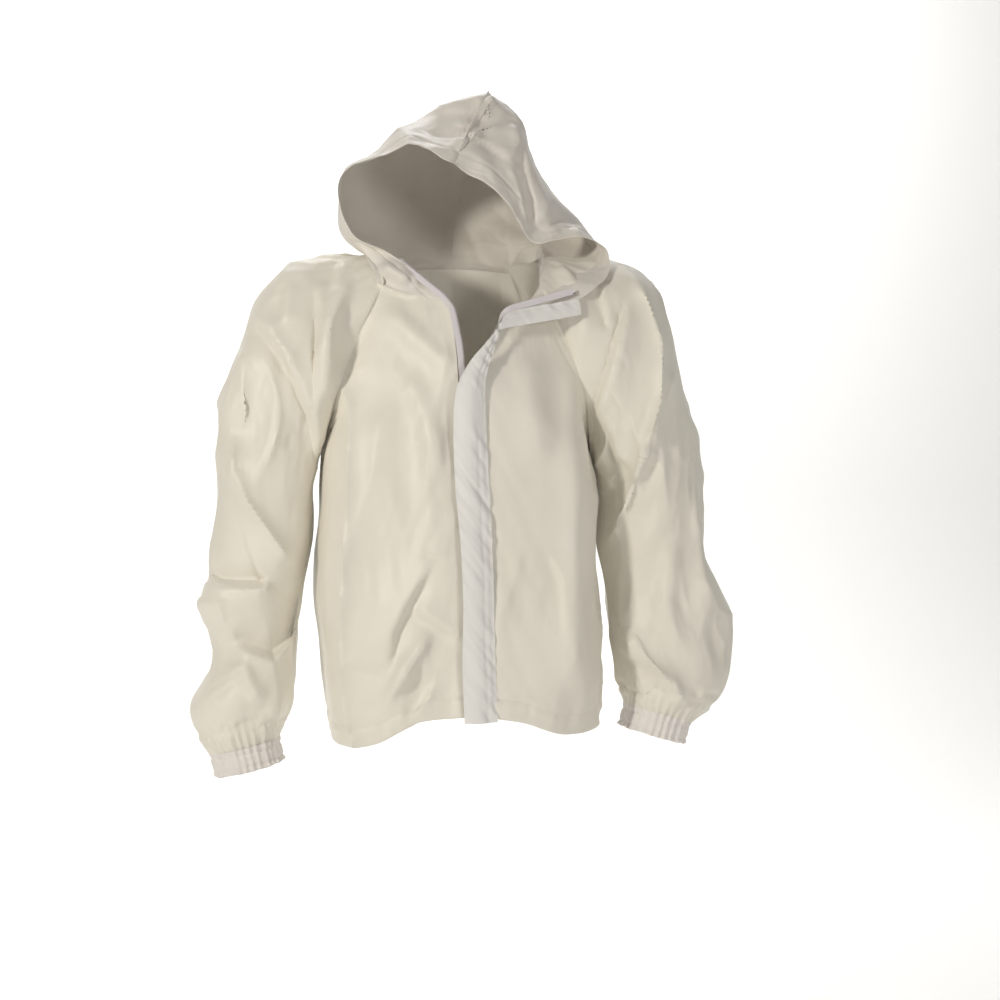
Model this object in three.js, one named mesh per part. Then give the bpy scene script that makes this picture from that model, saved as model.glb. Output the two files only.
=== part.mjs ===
// A hooded, full-zip work jacket of thin white cloth, worn open at the throat, in millimetres.
// +X is the wearer's left, the wearer faces -Y and +Z is up.
// The origin is the centre of the neck, at the level of the side of the neckline.
import * as THREE from 'three';
import { mergeVertices } from 'three/addons/utils/BufferGeometryUtils.js';

// ---- driving dimensions ----
const CLOTH = 2.4;             // thickness that stands for one layer of cloth and its seams
const SEAM_GAP = 2.2;          // space left along each sewn edge
const ELBOW_GAP = 4;           // space between the upper and the lower part of a sleeve
const CUFF_LENGTH = 30;
const CUFF_RADIUS = 50;
const CUFF_WALL = 3;
const ELASTIC_WIDTH = 20;
const ELASTIC_WALL = 1.4;
const CHAIN_TOP = new THREE.Vector3(0, -147, -178);      // the zip is closed below this point
const CHAIN_BOTTOM = new THREE.Vector3(14, -152, -628);  // the foot of the zip, at the hem
const COIL_INSIDE = 0.9;       // from the middle of the chain to the near side of a coil
const COIL_WIDTH = 1.7;
const COIL_THICK = 1.6;
const TAPE_INSIDE = 3;         // from the middle of the chain to the near side of a tape
const TAPE_WIDTH = 7;
const TAPE_THICK = 0.8;
const BOX_HEIGHT = 9;
const STOP_LENGTH = 4;
const STOP_THICK = 2.6;
const PIN_LENGTH = 14;
const SLIDER_DROP = 10;        // from the top of the closed chain to the middle of the slider
const SLIDER_LENGTH = 12;
const SLIDER_WIDTH = 11;
const SLIDER_PLATE = 1;
const SLIDER_SLOT = 3;         // space between its front and back plates
const LUG_REACH = 4;
const LUG_WIDTH = 2.4;
const PULL_LENGTH = 24;
const PULL_WIDTH = 7;
const PULL_THICK = 1.2;
const FLAP_PROUD = 13.8;       // from the middle of the chain to the middle of the storm flap
const FLAP_THICK = 1.6;
const FLAP_FREE_EDGE = -18;    // sideways, from the middle of the chain
const FLAP_SEWN_EDGE = 23;

// ---- finishes ----
const clothWhite = new THREE.MeshStandardMaterial({ color: 0xe6e1d4, roughness: 0.62, metalness: 0 });
const tapeWhite = new THREE.MeshStandardMaterial({ color: 0xe6dfdf, roughness: 0.7, metalness: 0 });
const coilWhite = new THREE.MeshStandardMaterial({ color: 0xd9d2d2, roughness: 0.4, metalness: 0 });
const paintedMetal = new THREE.MeshStandardMaterial({ color: 0xd8d4cc, roughness: 0.35, metalness: 0.6 });
const greyMetal = new THREE.MeshStandardMaterial({ color: 0x77706c, roughness: 0.4, metalness: 0.8 });
const elasticWhite = new THREE.MeshStandardMaterial({ color: 0xf0eee8, roughness: 0.8, metalness: 0 });

const jacket = new THREE.Group();

function add(name, geometry, material, parent = jacket) {
  const mesh = new THREE.Mesh(geometry, material);
  mesh.name = name;
  parent.add(mesh);
  return mesh;
}

// ---- cloth surfaces ----
// A value between four evenly spaced ones, on a smooth curve that passes through them.
function smooth(a, b, c, d, t) {
  const square = t * t;
  const cube = square * t;
  return 0.5 * (2 * b + (c - a) * t + (2 * a - 5 * b + 4 * c - d) * square + (3 * b - a - 3 * c + d) * cube);
}

function pointAlong(points, t, closed) {
  const count = points.length;
  const spans = closed ? count : count - 1;
  const position = Math.min(t * spans, spans - 1e-9);
  const span = Math.floor(position);
  const pick = (i) => (closed ? points[(i + count) % count] : points[Math.min(Math.max(i, 0), count - 1)]);
  const near = [pick(span - 1), pick(span), pick(span + 1), pick(span + 2)];
  if (!closed && span === 0) near[0] = near[1].map((v, k) => 2 * v - near[2][k]);
  if (!closed && span === spans - 1) near[3] = near[2].map((v, k) => 2 * v - near[1][k]);
  return [0, 1, 2].map((k) => smooth(near[0][k], near[1][k], near[2][k], near[3][k], position - span));
}

// A closed thin shell around the smooth surface through a net of points.
// Each row of the net runs across the cloth, and the rows follow each other along it.
function clothShell(net, across, along, { closed = false, gap = SEAM_GAP, thickness = CLOTH } = {}) {
  const columns = closed ? across : across + 1;
  const grid = [];
  for (let j = 0; j <= along; j++) {
    const row = [];
    for (let i = 0; i < columns; i++) {
      const throughRows = net.map((points) => pointAlong(points, i / across, closed));
      row.push(new THREE.Vector3(...pointAlong(throughRows, j / along, false)));
    }
    grid.push(row);
  }
  const drawIn = (edge, next) => edge.add(next.clone().sub(edge).setLength(gap));
  if (!closed) {
    for (const row of grid) {
      drawIn(row[0], row[1]);
      drawIn(row[columns - 1], row[columns - 2]);
    }
  }
  for (let i = 0; i < columns; i++) {
    drawIn(grid[0][i], grid[1][i]);
    drawIn(grid[along][i], grid[along - 1][i]);
  }
  return shellOfGrid(grid, closed, thickness);
}

// Two skins, one on each side of a grid of points, with walls round the open edges.
function shellOfGrid(grid, closed, thickness) {
  const rows = grid.length;
  const columns = grid[0].length;
  const skin = rows * columns;
  const wrap = (i) => (closed ? (i + columns) % columns : Math.min(Math.max(i, 0), columns - 1));
  const positions = new Float32Array(skin * 6);
  for (let j = 0; j < rows; j++) {
    for (let i = 0; i < columns; i++) {
      const acrossStep = grid[j][wrap(i + 1)].clone().sub(grid[j][wrap(i - 1)]);
      const alongStep = grid[Math.min(j + 1, rows - 1)][i].clone().sub(grid[Math.max(j - 1, 0)][i]);
      const offset = acrossStep.cross(alongStep).setLength(thickness / 2);
      const at = j * columns + i;
      grid[j][i].clone().add(offset).toArray(positions, at * 3);
      grid[j][i].clone().sub(offset).toArray(positions, (skin + at) * 3);
    }
  }
  const triangles = [];
  const quad = (a, b, c, d) => triangles.push(a, b, c, a, c, d);
  const out = (i, j) => j * columns + wrap(i);
  const inn = (i, j) => skin + out(i, j);
  const last = rows - 1;
  const spans = closed ? columns : columns - 1;
  for (let i = 0; i < spans; i++) {
    for (let j = 0; j < last; j++) {
      quad(out(i, j), out(i + 1, j), out(i + 1, j + 1), out(i, j + 1));
      quad(inn(i, j), inn(i, j + 1), inn(i + 1, j + 1), inn(i + 1, j));
    }
    quad(inn(i, 0), inn(i + 1, 0), out(i + 1, 0), out(i, 0));
    quad(inn(i + 1, last), inn(i, last), out(i, last), out(i + 1, last));
  }
  if (!closed) {
    for (let j = 0; j < last; j++) {
      quad(inn(0, j), out(0, j), out(0, j + 1), inn(0, j + 1));
      quad(out(spans, j), inn(spans, j), inn(spans, j + 1), out(spans, j + 1));
    }
  }
  const geometry = new THREE.BufferGeometry();
  geometry.setAttribute('position', new THREE.BufferAttribute(positions, 3));
  geometry.setIndex(triangles);
  return mergeVertices(geometry, 1e-4);
}

// ---- body ----
// Each row runs from the side seam to the zip; the rows climb from the hem to the neckline.
function rightFrontPanel() {
  const net = [
    [[-184, 20, -656], [-176, -85, -668], [-122, -138, -664], [-62, -150, -634], [3, -152, -628]],
    [[-196, 20, -560], [-182, -85, -562], [-125, -135, -562], [-62, -148, -560], [1, -151, -560]],
    [[-206, 20, -450], [-188, -85, -450], [-125, -132, -450], [-62, -146, -450], [-3, -150, -450]],
    [[-198, 15, -340], [-186, -80, -340], [-125, -130, -340], [-63, -144, -340], [-6, -149, -340]],
    [[-193, 5, -262], [-178, -70, -255], [-125, -124, -250], [-65, -140, -250], [-9, -148, -250]],
    [[-174, -60, -190], [-148, -90, -190], [-100, -118, -188], [-55, -134, -184], [-12, -146, -178]],
    [[-145, -74, -108], [-115, -95, -114], [-82, -110, -120], [-48, -121, -122], [-15, -132, -120]],
    [[-108, -79, -38], [-90, -88, -44], [-68, -96, -50], [-44, -103, -55], [-23, -110, -59]],
  ];
  return clothShell(net, 10, 14);
}

function leftFrontPanel() {
  const net = [
    [[213, 18, -618], [196, -78, -650], [140, -130, -656], [78, -148, -638], [25, -152, -628]],
    [[214, 20, -560], [192, -82, -562], [135, -134, -560], [80, -147, -560], [23, -151, -560]],
    [[206, 20, -450], [188, -85, -450], [132, -132, -450], [77, -146, -450], [20, -150, -450]],
    [[198, 15, -340], [186, -80, -340], [130, -130, -340], [73, -144, -340], [16, -149, -340]],
    [[193, 5, -262], [178, -70, -255], [128, -124, -250], [70, -140, -250], [13, -148, -250]],
    [[174, -60, -190], [148, -90, -190], [105, -116, -188], [62, -133, -184], [15, -145, -178]],
    [[145, -74, -108], [122, -90, -112], [97, -103, -114], [68, -114, -116], [40, -122, -124]],
    [[108, -77, -40], [98, -84, -50], [86, -92, -60], [72, -100, -70], [57, -108, -80]],
  ];
  return clothShell(net, 10, 14);
}

function backPanel() {
  const net = [
    [[-184, 24, -656], [-160, 90, -650], [-90, 128, -644], [5, 138, -640], [100, 128, -640], [182, 90, -634],
      [213, 22, -618]],
    [[-196, 24, -560], [-172, 92, -560], [-95, 130, -560], [3, 140, -560], [105, 130, -560], [188, 92, -560],
      [214, 24, -560]],
    [[-206, 24, -450], [-178, 95, -450], [-98, 134, -450], [0, 146, -450], [98, 134, -450], [178, 95, -450],
      [206, 24, -450]],
    [[-198, 19, -340], [-172, 90, -340], [-98, 132, -340], [0, 146, -340], [98, 132, -340], [172, 90, -340],
      [198, 19, -340]],
    [[-193, 9, -262], [-166, 78, -255], [-98, 124, -250], [0, 140, -250], [98, 124, -250], [166, 78, -255],
      [193, 9, -262]],
    [[-168, 62, -178], [-130, 93, -172], [-70, 116, -166], [0, 126, -162], [70, 116, -166], [130, 93, -172],
      [168, 62, -178]],
    [[-126, 73, -92], [-95, 88, -86], [-50, 100, -81], [0, 106, -79], [50, 100, -81], [95, 88, -86],
      [126, 73, -92]],
    [[-80, 62, 2], [-60, 70, 5], [-32, 76, 8], [0, 78, 9], [32, 76, 8], [60, 70, 5], [80, 62, 2]],
  ];
  return clothShell(net, 18, 14);
}

// ---- sleeves ----
// The top edge of a sleeve: up the front of the body from the underarm, round the neckline, down the back.
const armholeLoop = [
  [199, 7, -270], [180, -63, -188], [150, -79, -106], [114, -82, -32], [124, -44, 6],
  [126, 0, 20], [112, 42, 16], [88, 66, 4], [132, 77, -90], [175, 66, -176],
];

// A ring round the arm: outer and inner are [x, z], and front to back it is twice deep.
function armRing(side, outer, inner, centre, deep) {
  const ring = [];
  for (let k = 0; k < armholeLoop.length; k++) {
    const turn = (2 * Math.PI * k) / armholeLoop.length;
    const share = (1 + Math.cos(turn)) / 2;
    ring.push([
      side * (outer[0] + (inner[0] - outer[0]) * share),
      centre - deep * Math.sin(turn),
      outer[1] + (inner[1] - outer[1]) * share,
    ]);
  }
  return ring;
}

function sleeveNet(side, sections) {
  return sections.map(([outer, inner, centre, deep]) => armRing(side, outer, inner, centre, deep));
}

const rightUpperSections = [
  [[228, 3], [201, -278], -2, 90],
  [[282, -38], [203, -298], 0, 88],
  [[305, -98], [205, -322], 0, 84],
  [[332, -190], [206, -350], 0, 80],
  [[338, -290], [208, -392], 0, 77],
  [[352, -448], [220, -448], 0, 74],
];
const rightLowerSections = [
  [[354, -448], [220, -448], 0, 74],
  [[368, -478], [224, -480], -2, 74],
  [[346, -516], [228, -515], -5, 68],
  [[348, -565], [229, -560], -9, 65],
  [[378, -620], [231, -610], -14, 66],
  [[368, -664], [246, -640], -18, 58],
  [[352, -688], [255, -665], -20, 48],
];
const leftUpperSections = [
  [[236, 14], [201, -278], -2, 90],
  [[290, -28], [203, -298], 0, 88],
  [[318, -92], [205, -322], 0, 85],
  [[334, -185], [206, -350], 0, 82],
  [[354, -285], [208, -392], 0, 80],
  [[384, -448], [218, -448], 0, 78],
];
const leftLowerSections = [
  [[384, -448], [218, -448], 0, 78],
  [[396, -500], [224, -492], -4, 78],
  [[401, -545], [231, -535], -8, 76],
  [[397, -588], [237, -575], -13, 72],
  [[376, -625], [240, -602], -17, 62],
  [[343, -654], [244, -622], -20, 49],
];

function upperSleeve(side, sections) {
  const loop = armholeLoop.map(([x, y, z]) => [side * x, y, z]);
  return clothShell([loop, ...sleeveNet(side, sections)], 16, 14, { closed: true, gap: ELBOW_GAP / 2 });
}

function lowerSleeve(side, sections) {
  return clothShell(sleeveNet(side, sections), 16, 12, { closed: true, gap: ELBOW_GAP / 2 });
}

// ---- cuffs ----
// A band whose two ends are flat rings, square to its own axis.
function band(radius, wall, length, from = 0) {
  const inside = radius - wall;
  const outline = [[inside, from], [radius, from], [radius, from + length], [inside, from + length], [inside, from]];
  const profile = outline.map(([r, h]) => new THREE.Vector2(r, h));
  const geometry = new THREE.LatheGeometry(profile, 32);
  geometry.deleteAttribute('uv');
  geometry.deleteAttribute('normal');
  return mergeVertices(geometry, 1e-4);
}

// The cuff's upper end is at top, and its open end points along the given direction.
function addCuff(sideName, top, direction) {
  const place = new THREE.Group();
  place.position.copy(top);
  place.quaternion.setFromUnitVectors(new THREE.Vector3(0, 1, 0), direction.clone().normalize());
  add(`${sideName}_cuff`, band(CUFF_RADIUS, CUFF_WALL, CUFF_LENGTH), clothWhite, place);
  const elasticRadius = CUFF_RADIUS - CUFF_WALL - 0.4;
  const elasticStart = (CUFF_LENGTH - ELASTIC_WIDTH) / 2;
  add(`${sideName}_cuff_elastic`, band(elasticRadius, ELASTIC_WALL, ELASTIC_WIDTH, elasticStart),
    elasticWhite, place);
  jacket.add(place);
}

// ---- hood ----
// Each row runs from the zip edge and brim round the side to the middle seam at the back;
// the rows climb from the neckline over the crown to the middle of the brim.
function hoodRightPanel() {
  const net = [
    [[-26, -104, -49], [-99, -70, -19], [-119, -6, 34], [-86, 56, 24], [-3, 82, 21]],
    [[-92, -72, 4], [-146, -46, 28], [-158, 22, 46], [-98, 96, 52], [4, 128, 60]],
    [[-150, -68, 34], [-170, -8, 58], [-152, 62, 82], [-82, 118, 98], [13, 142, 122]],
    [[-171, -60, 100], [-160, 2, 128], [-126, 62, 154], [-60, 106, 172], [30, 126, 190]],
    [[-150, -65, 137], [-118, -8, 172], [-80, 36, 205], [-24, 62, 232], [44, 70, 248]],
    [[-84, -85, 160], [-62, -45, 190], [-32, -20, 215], [3, -6, 240], [40, 0, 256]],
    [[-30, -102, 138], [-24, -92, 150], [-18, -86, 158], [-10, -82, 163], [-4, -80, 166]],
  ];
  return clothShell(net, 10, 14, { gap: 1.6 });
}

function hoodLeftPanel() {
  const net = [
    [[64, -106, -56], [104, -72, -14], [120, -6, 35], [86, 56, 24], [3, 82, 21]],
    [[160, -86, -30], [205, -44, 22], [198, 36, 44], [110, 98, 52], [11, 128, 60]],
    [[208, -54, 22], [217, 0, 42], [186, 70, 66], [112, 122, 94], [20, 142, 122]],
    [[146, -50, 44], [186, 0, 68], [168, 68, 106], [116, 116, 150], [38, 126, 190]],
    [[90, -66, 46], [132, -8, 104], [138, 50, 158], [106, 82, 212], [52, 70, 248]],
    [[46, -90, 88], [82, -50, 140], [96, -10, 188], [84, 2, 232], [48, 0, 256]],
    [[4, -102, 124], [10, -93, 138], [12, -88, 150], [9, -84, 158], [3, -80, 166]],
  ];
  return clothShell(net, 10, 14, { gap: 1.6 });
}

// ---- zip ----
const chainDown = CHAIN_BOTTOM.clone().sub(CHAIN_TOP).normalize();
const forward = new THREE.Vector3(0, -1, 0);
const alongX = new THREE.Vector3(1, 0, 0);

// One half of the zip is a line of points with the direction from the coil to the sewn edge.
const rightHalf = [
  [CHAIN_BOTTOM, [-1, 0, 0]],
  [CHAIN_TOP, [-1, 0, 0]],
  [new THREE.Vector3(-4, -133, -120), [-1, 0, 0]],
  [new THREE.Vector3(-11, -114, -62), [-0.9, 0, -0.3]],
  [new THREE.Vector3(-22, -107, -40), [-0.6, 0, -0.8]],
  [new THREE.Vector3(-84, -76, 7), [-0.4, 0, -0.9]],
];
const leftHalf = [
  [CHAIN_BOTTOM, [1, 0, 0]],
  [CHAIN_TOP, [1, 0, 0]],
  [new THREE.Vector3(24, -138, -126), [0.8, 0.6, 0]],
  [new THREE.Vector3(50, -125, -84), [0.2, 0.9, 0.4]],
  [new THREE.Vector3(64, -119, -74), [0, 0.3, 0.95]],
  [new THREE.Vector3(158, -94, -45), [0, 0.2, 0.98]],
];

// A flat strip that keeps a set distance from the line of a half, between two distances along it.
function stripOfHalf(half, inside, width, thickness, footTrim, topTrim) {
  const stops = half.map(([point, side]) => ({ point: point.clone(), side: new THREE.Vector3(...side).normalize() }));
  const first = stops[0].point;
  const final = stops[stops.length - 1].point;
  first.add(stops[1].point.clone().sub(first).setLength(footTrim));
  final.add(stops[stops.length - 2].point.clone().sub(final).setLength(topTrim));
  const grid = stops.map(({ point, side }) => [
    point.clone().addScaledVector(side, inside),
    point.clone().addScaledVector(side, inside + width),
  ]);
  return shellOfGrid(grid, false, thickness);
}

// A stop clamped on the last stretch of a half's coil.
function topStop(half) {
  const [end, sideNumbers] = half[half.length - 1];
  const side = new THREE.Vector3(...sideNumbers).normalize();
  const back = half[half.length - 2][0].clone().sub(end).normalize();
  const grid = [STOP_LENGTH + 0.3, 0.3].map((distance) => {
    const middle = end.clone().addScaledVector(back, distance);
    return [
      middle.clone().addScaledVector(side, COIL_INSIDE),
      middle.clone().addScaledVector(side, COIL_INSIDE + COIL_WIDTH),
    ];
  });
  return shellOfGrid(grid, false, STOP_THICK);
}

function addZipEnds() {
  const foot = new THREE.Group();
  foot.position.copy(CHAIN_BOTTOM);
  foot.quaternion.setFromUnitVectors(new THREE.Vector3(0, 0, -1), chainDown);
  const box = new THREE.BoxGeometry(7, 3.6, BOX_HEIGHT);
  box.translate(0, 0, BOX_HEIGHT / 2 - 4);
  add('zip_retainer_box', box, paintedMetal, foot);
  const pin = new THREE.BoxGeometry(COIL_WIDTH, COIL_THICK, PIN_LENGTH);
  pin.translate(-COIL_INSIDE - COIL_WIDTH / 2, 0, BOX_HEIGHT - 4 + 0.5 + PIN_LENGTH / 2);
  add('zip_insertion_pin', pin, paintedMetal, foot);
  jacket.add(foot);
  add('zip_top_stop_right', topStop(rightHalf), greyMetal);
  add('zip_top_stop_left', topStop(leftHalf), greyMetal);
}

// Two plates joined by a thin bridge that runs in the middle of the chain, and a lug for the pull.
function sliderBody() {
  const half = SLIDER_SLOT / 2;
  const bridge = 0.6;
  const outer = half + SLIDER_PLATE;
  const halfWidth = SLIDER_WIDTH / 2;
  const outline = new THREE.Shape();
  outline.moveTo(-halfWidth, -outer);
  outline.lineTo(-LUG_WIDTH / 2, -outer);
  outline.lineTo(-LUG_WIDTH / 2, -outer - LUG_REACH);
  outline.lineTo(LUG_WIDTH / 2, -outer - LUG_REACH);
  outline.lineTo(LUG_WIDTH / 2, -outer);
  outline.lineTo(halfWidth, -outer);
  outline.lineTo(halfWidth, -half);
  outline.lineTo(bridge, -half);
  outline.lineTo(bridge, half);
  outline.lineTo(halfWidth, half);
  outline.lineTo(halfWidth, outer);
  outline.lineTo(-halfWidth, outer);
  outline.lineTo(-halfWidth, half);
  outline.lineTo(-bridge, half);
  outline.lineTo(-bridge, -half);
  outline.lineTo(-halfWidth, -half);
  outline.closePath();
  const geometry = new THREE.ExtrudeGeometry(outline, { depth: SLIDER_LENGTH, bevelEnabled: false });
  geometry.translate(0, 0, -SLIDER_LENGTH / 2);
  return geometry;
}

// The tab hangs in front of the slider; its window goes round the lug with room to swing.
function pullTab() {
  const windowHalf = LUG_WIDTH / 2 + 0.5;
  const windowTop = SLIDER_LENGTH / 2 + 1.2;
  const outline = new THREE.Shape();
  outline.moveTo(-PULL_WIDTH / 2, windowTop + 1.6);
  outline.lineTo(PULL_WIDTH / 2, windowTop + 1.6);
  outline.lineTo(PULL_WIDTH / 2, windowTop + 1.6 - PULL_LENGTH);
  outline.lineTo(-PULL_WIDTH / 2, windowTop + 1.6 - PULL_LENGTH);
  outline.closePath();
  const window = new THREE.Path();
  window.moveTo(-windowHalf, windowTop);
  window.lineTo(-windowHalf, -windowTop);
  window.lineTo(windowHalf, -windowTop);
  window.lineTo(windowHalf, windowTop);
  window.closePath();
  outline.holes.push(window);
  const geometry = new THREE.ExtrudeGeometry(outline, { depth: PULL_THICK, bevelEnabled: false });
  geometry.rotateX(Math.PI / 2);
  geometry.translate(0, -(SLIDER_SLOT / 2 + SLIDER_PLATE + 1), 0);
  return geometry;
}

function addSlider() {
  const place = new THREE.Group();
  place.position.copy(CHAIN_TOP).addScaledVector(chainDown, SLIDER_DROP);
  place.quaternion.setFromUnitVectors(new THREE.Vector3(0, 0, -1), chainDown);
  add('zip_slider', sliderBody(), paintedMetal, place);
  add('zip_pull', pullTab(), paintedMetal, place);
  jacket.add(place);
}

// ---- storm flap ----
// The long flap hangs straight in front of the closed zip, sewn along one side.
function stormFlap() {
  const top = CHAIN_TOP.clone().addScaledVector(forward, FLAP_PROUD);
  const bottom = CHAIN_BOTTOM.clone().addScaledVector(forward, FLAP_PROUD).addScaledVector(chainDown, 4);
  const grid = [bottom, top].map((middle) => [
    middle.clone().addScaledVector(alongX, FLAP_FREE_EDGE),
    middle.clone().addScaledVector(alongX, FLAP_SEWN_EDGE),
  ]);
  return shellOfGrid(grid, false, FLAP_THICK);
}

// Its upper end turns over with the opened front and lies along the folded-out edge of the hood.
function stormFlapTop() {
  const net = [
    [[-17, -161, -172], [2, -160, -167], [22, -158, -160]],
    [[20, -152, -126], [33, -150, -116], [46, -146, -110]],
    [[50, -143, -100], [56, -142, -92], [62, -139, -86]],
    [[108, -129, -90], [107, -128, -80], [106, -125, -72]],
    [[167, -113, -76], [165, -111, -66], [163, -107, -58]],
  ];
  return clothShell(net, 3, 12, { gap: 0.5, thickness: FLAP_THICK });
}

// ---- the whole jacket ----
add('right_front_panel', rightFrontPanel(), clothWhite);
add('left_front_panel', leftFrontPanel(), clothWhite);
add('back_panel', backPanel(), clothWhite);
add('right_upper_sleeve', upperSleeve(-1, rightUpperSections), clothWhite);
add('right_lower_sleeve', lowerSleeve(-1, rightLowerSections), clothWhite);
add('left_upper_sleeve', upperSleeve(1, leftUpperSections), clothWhite);
add('left_lower_sleeve', lowerSleeve(1, leftLowerSections), clothWhite);
addCuff('right', new THREE.Vector3(-303, -20, -681), new THREE.Vector3(0.23, 0, -0.97));
addCuff('left', new THREE.Vector3(291, -20, -643), new THREE.Vector3(-0.28, 0, -0.96));
add('hood_right_panel', hoodRightPanel(), clothWhite);
add('hood_left_panel', hoodLeftPanel(), clothWhite);
add('storm_flap', stormFlap(), clothWhite);
add('storm_flap_top', stormFlapTop(), clothWhite);
const footOfLeftCoil = BOX_HEIGHT - 4 + 0.5;
const footOfRightCoil = footOfLeftCoil + PIN_LENGTH + 0.5;
const topOfZip = STOP_LENGTH + 0.8;
add('zip_tape_right', stripOfHalf(rightHalf, TAPE_INSIDE, TAPE_WIDTH, TAPE_THICK, footOfLeftCoil, 0), tapeWhite);
add('zip_tape_left', stripOfHalf(leftHalf, TAPE_INSIDE, TAPE_WIDTH, TAPE_THICK, footOfLeftCoil, 0), tapeWhite);
add('zip_coil_right', stripOfHalf(rightHalf, COIL_INSIDE, COIL_WIDTH, COIL_THICK, footOfRightCoil, topOfZip),
  coilWhite);
add('zip_coil_left', stripOfHalf(leftHalf, COIL_INSIDE, COIL_WIDTH, COIL_THICK, footOfLeftCoil, topOfZip),
  coilWhite);
addZipEnds();
addSlider();

export default jacket;
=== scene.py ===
import math

import bpy
import numpy as np
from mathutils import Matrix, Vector, noise


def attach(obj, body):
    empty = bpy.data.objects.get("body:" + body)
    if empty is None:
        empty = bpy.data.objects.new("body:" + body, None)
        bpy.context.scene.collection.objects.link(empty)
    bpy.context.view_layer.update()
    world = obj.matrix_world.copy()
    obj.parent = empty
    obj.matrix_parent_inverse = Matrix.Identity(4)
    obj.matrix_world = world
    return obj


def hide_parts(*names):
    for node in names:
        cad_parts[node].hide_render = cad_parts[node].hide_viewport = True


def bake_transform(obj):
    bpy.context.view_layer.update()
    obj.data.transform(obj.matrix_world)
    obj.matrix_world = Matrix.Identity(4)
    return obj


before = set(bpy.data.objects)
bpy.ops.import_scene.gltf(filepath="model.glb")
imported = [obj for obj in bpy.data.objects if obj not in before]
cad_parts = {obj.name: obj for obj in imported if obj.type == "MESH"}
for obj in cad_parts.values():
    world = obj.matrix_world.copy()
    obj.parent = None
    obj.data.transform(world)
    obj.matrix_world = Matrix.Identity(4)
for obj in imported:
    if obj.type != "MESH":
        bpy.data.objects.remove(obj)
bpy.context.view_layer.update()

# A hooded white work jacket: thin cloth panels, a zip under a storm flap, gathered cuffs.
# The nets of points are in millimetres and the finished pieces in metres.
MM = 0.001
SETTLE_FRAMES = 26
CLOTH_THICKNESS = 0.5        # one layer of cloth, a little thick so that its edges catch the light
HEM_DEPTH = 29               # cloth turned up inside at the hem and the brim
HEM_STITCH = 26              # from the edge to the row of stitches
STITCH_PITCH = 3.4           # from one stitch to the next
STITCH_LENGTH = 2.5
STITCH_RADIUS = 0.32
ROWS_PER_SPAN = 10           # rows of cloth from one row of a net to the next
COLUMNS_PER_SPAN = 8
SLEEVE_ROWS = 88
BODY_SPARE = (1.035, 1.035, 1.014)      # how much larger the cut is than the space it fills, along x, y and z
SLEEVE_SPARE = (1.05, 1.05, 1.045)
SLEEVE_FADE_ROWS = 30        # rows over which the cut changes from the body's spare cloth to the sleeve's
HOOD_SPARE = 1.035
# How firmly cloth keeps its place while it settles: FIRM cloth stays, and the rest gives way more or less.
FIRM = 1.0
BRIM_HOLD = 0.7
HEM_HOLD = 0.45
HOOD_HOLD = 0.3
BODY_HOLD = 0.22
FOLD_STRENGTH = 2.1          # all the depths of the folds are multiplied by this
LAP_EDGE = 5.0               # how wide the step of a lap is
CRUMPLE_SIZES = ((84, 19.0), (40, 5.0), (20, 1.8))     # how far apart the small creases are, and how deep
CRUMPLE_DRAWN_OUT = 2.4      # the creases are this much longer down the cloth than across it
CRUMPLE_PATCH = 150          # how far apart smoother and more crumpled places are
CUFF_RADIUS = 50
CUFF_LENGTH = 30
CUFF_SEAMS = (6, 24)         # rows of stitches above and below the elastic
CUFF_GATHERS = 30
HOOD_RIGHT_STEPS = 12        # points from one row of the hood's nets to the next, and from column to column
HOOD_LEFT_STEPS = 8

scene = bpy.context.scene
scene.view_settings.view_transform = "Standard"


# ---------------------------------------------------------------- smooth surfaces
def between(a, b, c, d, t):
    """A value between b and c on a smooth curve through all four."""
    return 0.5 * (2 * b + (c - a) * t + (2 * a - 5 * b + 4 * c - d) * t * t
                  + (3 * b - a - 3 * c + d) * t ** 3)


def through(points, per_span, closed=False):
    """More points on the smooth curve through the given ones, which may be whole rows of points."""
    points = np.asarray(points, float)
    if closed:
        padded = np.concatenate([points[-1:], points, points[:2]])
        spans = len(points)
    else:
        padded = np.concatenate([2 * points[:1] - points[1:2], points, 2 * points[-1:] - points[-2:-1]])
        spans = len(points) - 1
    made = [between(*padded[span:span + 4], step / per_span)
            for span in range(spans) for step in range(per_span)]
    if not closed:
        made.append(points[-1])
    return np.array(made)


def surface(net, rows_per_span, columns_per_span, closed=False):
    """A grid of points on the smooth surface through a net; its rows follow each other along the cloth."""
    rows = through(net, rows_per_span)
    return through(rows.swapaxes(0, 1), columns_per_span, closed).swapaxes(0, 1)


def distances(lengths):
    """How far along each point is, when these are the lengths from each point to the next."""
    return np.concatenate([np.zeros_like(lengths[:1]), np.cumsum(lengths, axis=0)])


def row_steps(grid):
    """The distance from each point of a grid to the one in the next row."""
    return np.linalg.norm(np.diff(grid, axis=0), axis=2)


def even_rows(grid, count):
    """The same surface with rows at even distances."""
    steps = row_steps(grid).mean(axis=1)
    at = distances(steps)
    wanted = np.linspace(0, at[-1], count)
    index = np.clip(np.searchsorted(at, wanted, side="right") - 1, 0, len(steps) - 1)
    share = ((wanted - at[index]) / steps[index])[:, None, None]
    return grid[index] * (1 - share) + grid[index + 1] * share


def read_along(wanted, at, values):
    """Points or directions read off at the wanted distances along a line."""
    return np.stack([np.interp(wanted, at, values[:, k]) for k in range(3)], axis=-1)


def unit(v):
    """The same directions, each one unit long."""
    return v / np.maximum(np.linalg.norm(v, axis=-1, keepdims=True), 1e-12)


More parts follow.
